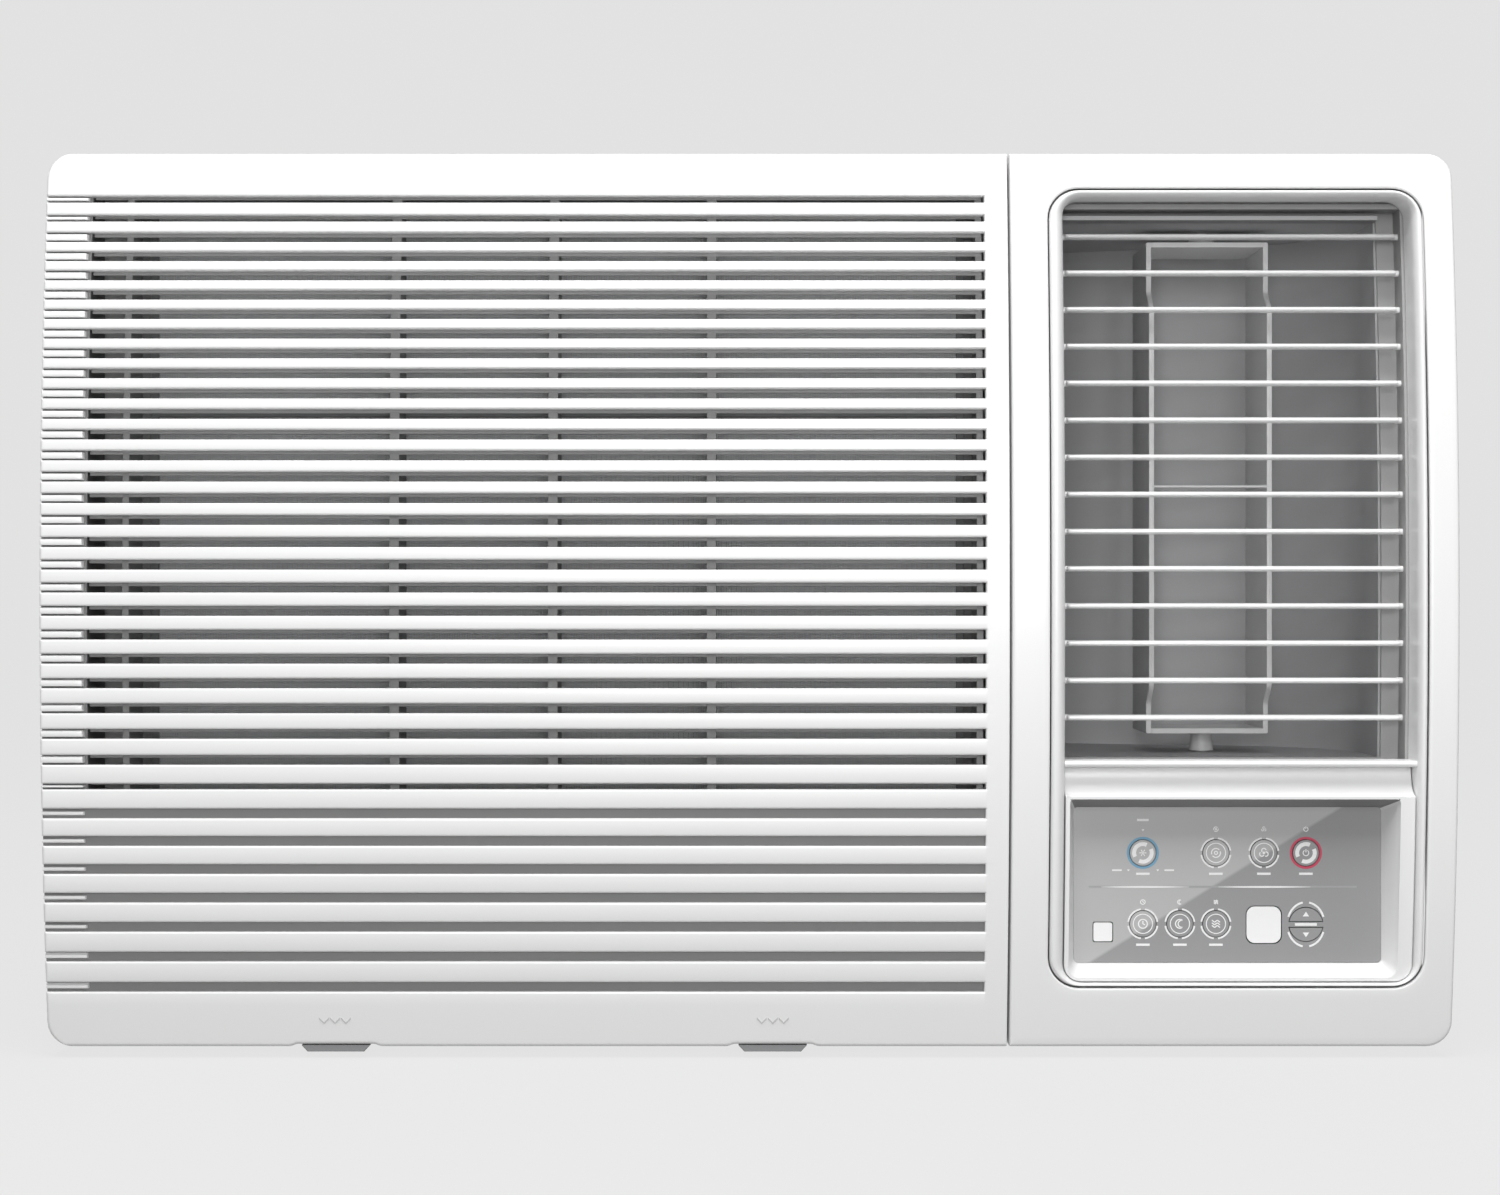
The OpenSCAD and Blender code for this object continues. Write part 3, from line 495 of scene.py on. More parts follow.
@dataclass(frozen=True)
class Galvanised:
    """Zinc-coated sheet: crystal facets that differ a little in tone and gloss."""

    name: str
    colour: tuple[float, float, float]
    facet_scale: float = 55.0

    def material(self) -> Material:
        """Build the material."""
        g = Graph(self.name)
        warped = g.node("ShaderNodeVectorMath", {"operation": "ADD"}, {0: g.place(), 1: g.node(
            "ShaderNodeVectorMath", {"operation": "SCALE"}, {0: g.node("ShaderNodeTexNoise", {},
                {"Vector": g.place(), "Scale": 30.0}, "Color"), "Scale": 0.02}, "Vector")}, "Vector")
        facet = g.node("ShaderNodeTexVoronoi", {}, {"Vector": warped, "Scale": self.facet_scale}, "Color")
        tone = g.node("ShaderNodeSeparateColor", {}, {"Color": facet}, "Red")
        dark = tuple(c * 0.84 for c in self.colour)
        g.set("Base Color", g.mix(tone, dark, self.colour))
        g.set("Metallic", 0.85)
        g.set("Roughness", tone * 0.16 + 0.32)
        g.bump(g.noise(90.0, 3.0), 0.00005)
        return g.material


@dataclass(frozen=True)
class BareMetal:
    """Drawn or turned metal: a very fine grain, and blotches of tarnish."""

    name: str
    colour: tuple[float, float, float]
    tarnish: tuple[float, float, float]
    roughness: float = 0.26

    def material(self) -> Material:
        """Build the material."""
        g = Graph(self.name)
        grain = g.noise(700.0, 2.0, 0.6)
        blotch = ((g.noise(38.0, 5.0, 0.6) - 0.42) * 2.6).limited()
        g.set("Base Color", g.mix(blotch * 0.7, self.colour, self.tarnish))
        g.set("Metallic", 1.0)
        g.set("Roughness", blotch * 0.18 + grain * 0.08 + self.roughness)
        g.bump(grain, 0.00002)
        return g.material


@dataclass(frozen=True)
class FinStock:
    """Pressed aluminium fins seen edge on: bright edges with dust between them."""

    name: str
    colour: tuple[float, float, float]

    def material(self) -> Material:
        """Build the material."""
        g = Graph(self.name)
        dust = ((g.noise(14.0, 6.0, 0.7) - 0.4) * 1.8).limited()
        g.set("Base Color", g.mix(dust * 0.5, self.colour, (0.45, 0.44, 0.41)))
        g.set("Metallic", 0.75 - dust * 0.4)
        g.set("Roughness", dust * 0.25 + 0.34)
        g.bump(g.noise(300.0, 2.0), 0.00004)
        return g.material


@dataclass(frozen=True)
class FilterNet:
    """Woven filter net: crossed threads that leave square holes, as opacity and height."""

    name: str
    colour: tuple[float, float, float]
    pitch: float = 0.0016

    def material(self) -> Material:
        """Build the material."""
        g = Graph(self.name)
        x, _, z = g.axes()
        turn = 2 * math.pi / self.pitch
        across, along = (x * turn).sine().absolute(), (z * turn).sine().absolute()
        thread = across.larger(along)
        g.set("Base Color", g.mix((g.noise(20.0, 4.0) - 0.3).limited(), self.colour,
                                  tuple(c * 0.8 for c in self.colour)))
        g.set("Alpha", (thread > 0.55) * 0.9 + 0.1)
        g.set("Roughness", 0.7)
        g.bump(thread, 0.0003)
        return g.material


@dataclass(frozen=True)
class GlossySheet:
    """The control panel's sheet: a light and a dark tone that meet on a slant, under clear gloss."""

    name: str
    light: tuple[float, float, float]
    dark: tuple[float, float, float]
    upper: tuple[float, float] = (0.277, 0.115)
    lower: tuple[float, float] = (0.165, 0.046)
    gloss: float = 0.22

    def material(self) -> Material:
        """Build the material: the tone follows the signed distance from the slanted line."""
        g = Graph(self.name)
        x, _, z = g.axes()
        run = np.array(self.upper) - np.array(self.lower)
        across = np.array([run[1], -run[0]]) / np.hypot(*run)
        offset = float(across @ np.array(self.lower))
        side = x * float(across[0]) + z * float(across[1]) - offset
        share = (side * 700.0 + 0.5).limited()
        # Each tone shifts a little with height: the light one darker towards the bottom, the dark one darker
        # towards the top.
        fade = (z - 0.044) * 2.2
        light = g.mix(fade.limited(), tuple(c * 0.93 for c in self.light), self.light)
        dark = g.mix(fade.limited(), self.dark, tuple(c * 0.94 for c in self.dark))
        g.set("Base Color", g.mix(share, light, dark))
        g.set("Roughness", (g.noise(80.0) - 0.5) * 0.05 + self.gloss)
        g.set("Coat Weight", 0.5)
        g.set("Coat Roughness", 0.06)
        g.bump(g.noise(900.0, 2.0), 0.000006)
        return g.material


@dataclass(frozen=True)
class Ink:
    """Printed ink, faintly uneven; also the painted shade and painted highlights of the dividing groove."""

    name: str
    colour: tuple[float, float, float]

    def material(self) -> Material:
        """Build the material."""
        g = Graph(self.name)
        g.set("Base Color", g.mix(g.noise(1500.0, 2.0), self.colour, tuple(c * 0.93 for c in self.colour)))
        g.set("Roughness", 0.42)
        return g.material


@dataclass(frozen=True)
class SolderMask:
    """A circuit board's mask, with the tracks showing through as a raised, lighter net."""

    name: str
    colour: tuple[float, float, float]

    def material(self) -> Material:
        """Build the material."""
        g = Graph(self.name)
        cells = g.node("ShaderNodeTexVoronoi", {"feature": "DISTANCE_TO_EDGE", "distance": "EUCLIDEAN"},
                       {"Vector": g.place(), "Scale": 160.0}, "Distance")
        track = 1 - (cells * 14.0).limited()
        g.set("Base Color", g.mix(track, self.colour, tuple(min(1, c * 1.9) for c in self.colour)))
        g.set("Roughness", 0.3)
        g.set("Coat Weight", 0.4)
        g.bump(track, 0.00008)
        return g.material


class Kit(Enum):
    """Every finish on the machine."""

    WHITE = Moulded("white_plastic", (0.86, 0.86, 0.86), 0.34, 0.000012, 1500.0, 0.01, 0.15)
    # Painted shade: a dark grey on white plastic where shade falls, on the groove floors, the ribs behind the
    # bars and the step above the control sheet.
    PAINTED_RECESS_GREY = Moulded("painted_recess_shade", (0.24, 0.24, 0.24), 0.5, 0.00002, 1500.0, 0.02)
    # Painted shade: the grey of the strips that darken the top of each open slot.
    PAINTED_SLOT_SHADE = Moulded("painted_slot_shade", (0.33, 0.33, 0.33), 0.6, 0.00002, 1500.0, 0.02)
    BLADE_WHITE = Moulded("blade_plastic", (0.90, 0.90, 0.90), 0.30, 0.00001, 1500.0, 0.01, 0.2)
    FRAME_GREY = Moulded("frame_plastic", (0.60, 0.60, 0.60), 0.42, 0.00002, 1500.0, 0.02)
    VANE_GREY = Moulded("vane_plastic", (0.74, 0.74, 0.74), 0.42, 0.00002, 1500.0, 0.02)
    FLANGE_GREY = Moulded("flange_plastic", (0.36, 0.36, 0.36), 0.5, 0.00003, 1500.0, 0.02)
    DUCT_GREY = Moulded("duct_plastic", (0.50, 0.50, 0.51), 0.55, 0.00004, 900.0, 0.05)
    SCROLL = Moulded("scroll_plastic", (0.80, 0.80, 0.78), 0.62, 0.0001, 500.0, 0.05)
    FILTER = Moulded("filter_plastic", (0.23, 0.233, 0.237), 0.5, 0.00003, 1200.0, 0.04)
    WHEEL = Moulded("wheel_plastic", (0.035, 0.038, 0.042), 0.5, 0.00004, 1000.0, 0.08)
    # Rubber, also used for the painted shade in the cabinet's bolt bores.
    RUBBER_AND_BORE_SHADE = Moulded("rubber", (0.018, 0.018, 0.018), 0.75, 0.00008, 700.0, 0.1)
    LENS = Moulded("white_lens", (0.93, 0.93, 0.93), 0.14, 0.000002, 1500.0, 0.0, 0.6)
    CASE = CoatedSheet("cabinet_paint", (0.70, 0.70, 0.69))
    BLACK_PAINT = CoatedSheet("compressor_paint", (0.012, 0.012, 0.013), 0.32)
    MOTOR_PAINT = CoatedSheet("motor_paint", (0.09, 0.095, 0.105), 0.4)
    ZINC = Galvanised("galvanised", (0.60, 0.62, 0.64))
    STEEL = BareMetal("bright_steel", (0.62, 0.62, 0.63), (0.42, 0.41, 0.40))
    COPPER = BareMetal("copper", (0.83, 0.42, 0.26), (0.38, 0.19, 0.12))
    FINS = FinStock("aluminium_fins", (0.80, 0.82, 0.84))
    NET = FilterNet("filter_net", (0.84, 0.85, 0.86))
    OVERLAY = GlossySheet("control_sheet", (0.50, 0.50, 0.50), (0.30, 0.30, 0.305))
    BOARD = SolderMask("board", (0.02, 0.13, 0.05))
    # White ink for print, also carrying the painted highlights of the dividing groove.
    WHITE_INK_AND_HIGHLIGHT = Ink("white_ink_and_highlight", (0.90, 0.90, 0.90))
    # Painted shade of the dividing groove.
    PAINTED_GROOVE_GREY = Ink("painted_groove_shade", (0.36, 0.36, 0.37))
    BLUE_INK = Ink("blue_ink", (0.16, 0.36, 0.52))
    RED_INK = Ink("red_ink", (0.55, 0.045, 0.10))


_made: dict[Kit, Material] = {}


def finish(kind: Kit) -> Material:
    """The material of a finish, made once."""
    if kind not in _made:
        _made[kind] = kind.value.material()
    return _made[kind]


def place_piece(piece: bpy.types.Object, body: str, nodes: Sequence[str] = ()) -> bpy.types.Object:
    """Let a piece ride on its body and hide the CAD nodes that it stands for.

    Args:
        piece: The new object.
        body: The CAD body that it moves with.
        nodes: CAD nodes that it replaces.

    Returns:
        The piece.
    """
    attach(piece, body)
    if nodes:
        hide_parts(*nodes)
    LOG.info("%s: %d faces on %s", piece.name, len(piece.data.polygons), body)
    return piece


def dress(node: str, kind: Kit, bevel: float = 0.0) -> None:
    """Give a CAD node its material, and soften its edges.

    Args:
        node: The CAD node.
        kind: Its finish.
        bevel: Width of the softened edges, or nothing.
    """
    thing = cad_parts[node]
    thing.data.materials.clear()
    thing.data.materials.append(finish(kind))
    if bevel:
        weld = thing.modifiers.new("weld", "WELD")
        weld.merge_threshold = 2e-6
        soft = thing.modifiers.new("soft_edges", "BEVEL")
        soft.width, soft.segments, soft.limit_method, soft.angle_limit = bevel, 2, "ANGLE", math.radians(40)
        soft.use_clamp_overlap, soft.harden_normals = True, False
    LOG.info("%s dressed as %s", node, kind.value.name)


# ---------------------------------------------------------------- the two front panels

def crown(x: Array, setback: Array, z: Array) -> Array:
    """Points behind the crowned surface: y is the front plus sag(z) plus the setback."""
    x, setback, z = np.broadcast_arrays(x, setback, z)
    return np.stack([x, FRONT_Y + sag(z) + setback, z], -1)


@dataclass
class IntakeGrille:
    """The left front panel: one crowned moulding with slots whose pitch grows downwards."""

    slots: int = 35
    blind: int = 7
    slot_h: float = 4.7 * MM
    first_drop: float = 22.2 * MM
    pitch: float = 9.15 * MM
    growth: float = 0.00502 * MM
    open_x: float = -313 * MM
    end_x: float = 111.4 * MM
    bar_depth: float = 8 * MM
    edge_r: float = 1.5 * MM
    seam_r: float = 0.5 * MM
    corner_r: float = 12 * MM
    slot_edge_r: float = 0.95 * MM
    groove: float = 3.6 * MM
    left_groove: float = 5.0 * MM
    tab_x: tuple[float, float] = (-197 * MM, 11 * MM)
    filter_x: tuple[float, float] = (-294 * MM, 108 * MM)
    rib_x: tuple[float, ...] = (-168 * MM, -93 * MM, -18 * MM)
    hinge_x: tuple[float, float] = (-300 * MM, 90 * MM)
    z: Array = field(init=False)
    h: Array = field(init=False)

    def __post_init__(self) -> None:
        """Work out each slot's height and place: the pitches grow with the square of the slot's number."""
        n = np.arange(self.slots)
        self.z = PANEL_HI.z - self.first_drop - self.pitch * n - self.growth * (n - 1) * n * (2 * n - 1) / 6
        self.h = np.where(n < 2, 3.2 * MM, np.where(n == self.open_count - 1, 2.8 * MM, self.slot_h))

    @property
    def open_count(self) -> int:
        """How many slots go right through."""
        return self.slots - self.blind

    def left_edge(self, z: Array) -> Array:
        """X of the panel's left outline, which is round at its two corners."""
        into = np.maximum(np.maximum(z - (PANEL_HI.z - self.corner_r), PANEL_LO.z + self.corner_r - z), 0.0)
        into = np.minimum(into, self.corner_r)
        return PANEL_LO.x + self.corner_r - np.sqrt(self.corner_r ** 2 - into ** 2)

    def lift(self, x: Array) -> Array:
        """How far the lower edge is raised over each pull tab: a smooth notch 20 mm either side of it."""
        near = np.min([np.abs(x - t) for t in self.tab_x], axis=0)
        return 1.1 * MM * smooth((22 * MM - near) / (4 * MM))

    def lines(self) -> tuple[Array, Array]:
        """Grid lines in x and z: close together at every rounded edge, sparse between."""
        r = self.slot_edge_r
        xs = [PANEL_LO.x + np.array([0, .05, .2, .45, .8, 1.2, 1.6, 2.4, 4, 6, 9, 12, 16]) * MM,
              PANEL_HI.x - np.array([0, .04, .12, .25, .5, .8, 2, 4, 6]) * MM,
              edge_lines(self.end_x, r, 1.0), [self.end_x - 0.03 * MM, self.end_x - 2 * MM],
              edge_lines(self.open_x, r, -1.0), [self.open_x + 0.03 * MM, self.open_x + 2 * MM],
              self.open_x - np.array([1.19, 1.21, 1.35, 1.8]) * MM,
              self.filter_x, np.linspace(-290 * MM, 100 * MM, 14)]
        xs += [t + side * np.array([18, 19, 20, 21, 22]) * MM for t in self.tab_x for side in (-1, 1)]
        zs = [PANEL_LO.z + np.array([0, .05, .2, .45, .8, 1.2, 1.6, 2.4, 4, 6, 9, 12, 16, 20]) * MM,
              PANEL_HI.z - np.array([0, .05, .2, .45, .8, 1.2, 1.6, 2.4, 4, 6, 9, 12, 16]) * MM]
        for z, h in zip(self.z, self.h):
            for side in (-1, 1):
                edge = z + side * h / 2
                zs += [edge_lines(edge, r, side), [edge - side * 0.03 * MM, edge - side * 0.5 * MM]]
            gap = 0.9 * MM if h < 4 * MM or z > self.z[self.open_count] + MM else 1.5 * MM
            steps = np.array([-0.01, 0.01, 0.15, 0.6]) * MM
            zs += [z + side * (h / 2 - gap - steps) for side in (-1, 1)] + [[z]]
        return merged_lines(*xs, least=0.02 * MM), merged_lines(*zs, least=0.02 * MM)

    def depth(self, x: Array, z: Array) -> Array:
        """Setback of the front surface: the deepest of the outline's round edge, the slots' round edges, the
        grooves and the grooves' left ends, which hold a raised ridge."""
        outline = np.minimum(np.minimum(x - self.left_edge(z), z - PANEL_LO.z - self.lift(x)), PANEL_HI.z - z)
        deep = round_over(outline, self.edge_r)
        deep = np.maximum(deep, round_over(PANEL_HI.x - x, self.seam_r))
        x = np.broadcast_to(x, z.shape)
        for n, (zc, h) in enumerate(zip(self.z, self.h)):
            rows = np.abs(z[:, 0] - zc) < h / 2 + 2 * self.slot_edge_r
            xr, zr = x[rows], z[rows]
            open_slot = n < self.open_count
            whole = box_distance(xr, zr, -1.0, self.end_x, zc - h / 2, zc + h / 2)
            cut = round_over(whole, self.slot_edge_r)
            inside = whole < -0.02 * MM
            floor = self.left_groove if open_slot else self.groove
            cut = np.where(inside, floor, cut)
            gap = 0.9 * MM if open_slot else 1.5 * MM
            ridge = -box_distance(xr, zr, -1.0, self.open_x - 1.2 * MM, zc - h / 2 + gap, zc + h / 2 - gap)
            ridge_top = (0.5 * MM if open_slot else 1.2 * MM) + round_over(ridge, 0.6 * MM)
            cut = np.where(inside & (ridge > 0), ridge_top, cut)
            if open_slot:
                cut = np.where(inside & (xr > self.open_x), self.slot_edge_r, cut)
            deep[rows] = np.maximum(deep[rows], cut)
        return deep

    def front(self, shape: Shape) -> None:
        """The slotted wall and the returns: a front grid, a back grid, walls where open cells were left out,
        and a rim wall round the outline."""
        xl, zl = self.lines()
        z = np.broadcast_to(zl[:, None], (len(zl), len(xl))).copy()
        span = 16 * MM
        left = self.left_edge(z) - PANEL_LO.x
        x = np.broadcast_to(xl[None, :], z.shape).copy()
        x += left * np.clip(1 - (x - PANEL_LO.x) / span, 0, 1)
        z += self.lift(x) * np.clip(1 - (z - PANEL_LO.z) / (12 * MM), 0, 1)
        front = crown(x, self.depth(x, z), z)
        xm, zm = (xl[1:] + xl[:-1]) / 2, (zl[1:] + zl[:-1]) / 2
        hole = np.zeros((len(zm), len(xm)), bool)
        for zc, h in zip(self.z[:self.open_count], self.h[:self.open_count]):
            hole |= (np.abs(zm - zc) < h / 2)[:, None] & ((xm > self.open_x) & (xm < self.end_x))[None, :]
        # The back surface, with its rim moved in by the wall's thickness.
        reach = 6 * MM
        shift = lambda d: np.clip(1 - d / reach, 0, 1) * WALL
        bx = x + shift(x - self.left_edge(z)) - shift(PANEL_HI.x - x)
        bz = z + shift(z - PANEL_LO.z - self.lift(x)) - shift(PANEL_HI.z - z)
        back = crown(bx, self.bar_depth, bz)
        shape.grid(front, keep=~hole)
        shape.grid(back, keep=~hole, flip=True)
        shape.edges_of(hole, front, back)
        self.returns(shape, front, back, x, z)

    def returns(self, shape: Shape, front: Array, back: Array, x: Array, z: Array) -> None:
        """The rim wall: the outline swept back to the frame, round its rear edge and forward inside. The
        filter's slot is left open in the lower wall."""
        outer, inner = grid_rim(front), grid_rim(back)
        depth_lines = np.array([43.4, 53.0, 65.6, 66.0]) * MM + FRONT_Y
        moved_to = lambda loop, y: np.stack([loop[:, 0], np.maximum(y, loop[:, 1]), loop[:, 2]], -1)
        outside = np.stack([outer] + [moved_to(outer, y) for y in depth_lines])
        inside = np.stack([moved_to(inner, y) for y in (PANEL_BACK_Y, *depth_lines[2::-1])] + [inner])
        in_slot = (outer[:, 2] < PANEL_LO.z + 2 * MM) & (outer[:, 0] > self.filter_x[0] - 1e-6) \
            & (outer[:, 0] < self.filter_x[1] - 1e-6)
        keep_out = np.ones((len(outside) - 1, len(outer)), bool)
        keep_out[1, in_slot] = False
        keep_in = np.ones((len(inside) - 1, len(outer)), bool)
        keep_in[2, in_slot] = False
        shape.grid(outside, wrap_cols=True, keep=keep_out)
        shape.grid(np.stack([outside[-1], inside[0]]), wrap_cols=True)
        shape.grid(inside, wrap_cols=True, keep=keep_in)
        pairs = ((outside[1], inside[3]), (outside[2], inside[2]))
        ends = np.nonzero(in_slot)[0]
        for a, b in pairs:
            strip = np.stack([a[ends[0]:ends[-1] + 2], b[ends[0]:ends[-1] + 2]])
            shape.grid(strip)
        for k in (ends[0], ends[-1] + 1):
            shape.add(np.stack([outside[1][k], outside[2][k], inside[2][k], inside[3][k]]), [[0, 1, 2, 3]])

    def post(self, shape: Shape, x0: float, x1: float, y1: float, z0: float, z1: float) -> None:
        """A rib behind the bars: a rectangle of fixed width carried up the crown, flush with their backs."""
        z = np.linspace(z0, z1, 40)
        y0 = FRONT_Y + sag(z) + self.bar_depth - 0.2 * MM
        e = 0.3 * MM
        ring = [(x0, y0), (x1, y0), (x1, y1 - e), (x1 - e, y1), (x0 + e, y1), (x0, y1 - e)]
        rings = np.stack([np.stack(np.broadcast_arrays(a, b, z), -1) for a, b in ring], 1)
        shape.solid(rings)

    def inner_parts(self, shape: Shape) -> None:
        """Ribs, the post behind the slots' left ends, the filter's channels and the hinge lugs."""
        low, top = PANEL_LO.z + 3 * MM, PANEL_HI.z - 6 * MM
        y = lambda d: FRONT_Y + d * MM
        for x in self.rib_x:
            self.post(shape, x - 2.2 * MM, x + 2.2 * MM, y(42), low, top)
        self.post(shape, self.open_x - 3 * MM, self.open_x, y(50), low, top)
        mesh_lo, mesh_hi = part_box("filter_frame")
        for side, x in ((-1, mesh_lo.x - 0.4 * MM), (1, mesh_hi.x + 0.4 * MM)):
            a, b = sorted((x, x + side * 3 * MM))
            self.post(shape, a, b, y(53), low, top)
            a, b = sorted((x + side * 3 * MM, x - side * 4 * MM))
            for d in (43.1, 51.4):
                shape.block((a, y(d), low), (b, y(d + 1.5), top))
        axis_y, axis_z = PANEL_BACK_Y - 3 * MM, PANEL_HI.z - 6 * MM
        for x in self.hinge_x:
            for side in (-1, 1):
                self.lug(shape, x + side * 5 * MM, axis_y, axis_z)

    def lug(self, shape: Shape, x: float, y: float, z: float) -> None:
        """A hinge lug: an eye of 3.2 mm radius with a bore, on a web up to the panel's top wall."""
        a = np.linspace(0, 2 * math.pi, 32, endpoint=False)
        eye = np.stack([3.2 * MM * np.cos(a), 3.2 * MM * np.sin(a)], -1)
        hood = np.stack([eye[:, 0], np.where(eye[:, 1] > 0, 3.6 * MM, eye[:, 1])], -1)
        bore = np.stack([1.56 * MM * np.cos(a), 1.56 * MM * np.sin(a)], -1)
        rings = []
        for loop, dx in ((bore, -2.5), (hood, -2.5), (hood, 2.5), (bore, 2.5)):
            rings.append(np.stack([np.full(32, x + dx * MM), y + loop[:, 0], z + loop[:, 1]], -1))
        shape.grid(np.stack(rings), wrap_rows=True, wrap_cols=True)

    def shades(self) -> Shape:
        """Painted shade: a thin dark strip behind the upper edge of each open slot, darkening the slot where
        the bar above would shade it.
        """
        strips = Shape()
        for z, h in zip(self.z[:self.open_count], self.h):
            y = FRONT_Y + float(sag(z)) + self.bar_depth
            strips.block((self.open_x + MM, y - 0.1 * MM, z + h / 2 - 0.36 * h),
                         (self.end_x - MM, y + 0.9 * MM, z + h / 2 + 0.4 * MM), 0.2 * MM)
        return strips

    def arrow_marks(self) -> Shape:
        """A small raised arrow over each tab, which says to pull down."""
        marks = Shape()
        for x in self.tab_x:
            for k in (-1, 0, 1):
                p = np.array([(-2.4, 1.3), (0, -1.1), (2.4, 1.3), (2.4, 2.3), (0, -0.1), (-2.4, 2.3)]) * MM
                loop = p + np.array([x + 5.2 * MM * k, 17 * MM])
                y = FRONT_Y + sag(loop[:, 1])
                rings = [np.stack([loop[:, 0], y + d, loop[:, 1]], -1) for d in (0.3 * MM, -0.2 * MM)]
                marks.grid(np.stack(rings), wrap_cols=True)
                marks.add(rings[1], [[0, 1, 4, 5], [1, 2, 3, 4]])
        return marks

    def painted_groove_floors(self, centre: Array) -> Array:
        """Which faces get the painted shade of a groove floor: those set back by the depth of a blind groove
        or of a slot's left end.
        """
        setback = centre[:, 1] - FRONT_Y - sag(centre[:, 2])
        blind = np.abs(setback - self.groove) < 0.05 * MM
        return blind | (np.abs(setback - self.left_groove) < 0.05 * MM)

    def build(self) -> None:
        """Make the panel and its marks, with painted shade on the groove floors, the ribs and the top of each
        open slot.
        """
        shape = Shape()
        self.front(shape)
        # The groove floors get the painted-shade grey.
        panel = shape.object("intake_grille_panel", finish(Kit.WHITE), 38.0,
                             second=(finish(Kit.PAINTED_RECESS_GREY), self.painted_groove_floors))
        place_piece(panel, "door", ["intake_grille"])
        inner = Shape()
        self.inner_parts(inner)
        # Painted shade: the ribs, posts, channels and lugs get the dark grey for the shade they lie in behind
        # the bars.
        place_piece(inner.object("intake_grille_ribs", finish(Kit.PAINTED_RECESS_GREY)), "door")
        marks = self.arrow_marks().object("pull_marks", finish(Kit.FRAME_GREY), 30.0)
        place_piece(marks, "door")
        # Painted shade at the top of each open slot.
        place_piece(self.shades().object("painted_slot_shade_strips", finish(Kit.PAINTED_SLOT_SHADE)), "door")


@dataclass
class OutletPanel:
    """The right front panel: a crowned shell lofted between its outline and the round-cornered opening."""

    opening: tuple[float, float, float, float] = (141.4 * MM, 320 * MM, 33.3 * MM, 413.2 * MM)
    opening_r: float = 15 * MM
    corner_r: float = 12 * MM
    edge_r: float = 1.5 * MM
    seam_r: float = 0.5 * MM

    def outline(self, inset: float) -> Array:
        """The panel's outline moved in by an inset, with square corners at the seam."""
        r = max(self.corner_r - inset, 0.5 * MM)
        s = 0.3 * MM
        return rounded_loop(OUTLET_LO.x + inset, OUTLET_HI.x - inset,
                            OUTLET_LO.z + inset, OUTLET_HI.z - inset, (r, r, s, s))

    def mouth(self, grow: float) -> Array:
        """The opening's outline, grown by an amount."""
        x0, x1, z0, z1 = self.opening
        return rounded_loop(x0 - grow, x1 + grow, z0 - grow, z1 + grow, (self.opening_r + grow,) * 4)

    def build(self) -> None:
        """Loft the shell: out of the opening, over the face, round the outline, back, and forward inside."""
        turn = np.radians([0, 18, 36, 54, 72, 90])
        ease = 1.1 * MM
        rows = [(self.mouth(0.0), 3.0 * MM)]
        rows += [(self.mouth(ease * (1 - math.cos(a))), ease * (1 - math.sin(a))) for a in turn]
        flat_in, flat_out = self.mouth(ease), self.outline(self.edge_r)
        rows += [(flat_in + (flat_out - flat_in) * t, 0.0) for t in (0.12, 0.3, 0.5, 0.7, 0.88)]
        edge = self.edge_r
        rows += [(self.outline(edge * (1 - math.sin(a))), edge * (1 - math.cos(a))) for a in turn]
        rings = [crown(loop[:, 0], depth, loop[:, 1]) for loop, depth in rows]
        outer, inner = self.outline(0.0), self.outline(WALL)
        for loop in (outer, inner):
            rings.append(np.stack([loop[:, 0], np.full(len(loop), PANEL_BACK_Y), loop[:, 1]], -1))
        rings += [crown(inner[:, 0], 3.0 * MM, inner[:, 1])]
        shape = Shape()
        shape.grid(np.stack(rings), wrap_rows=True, wrap_cols=True, flip=True)
        panel = shape.object("outlet_panel_shell", finish(Kit.WHITE), 40.0)
        place_piece(panel, "chassis", ["outlet_panel"])


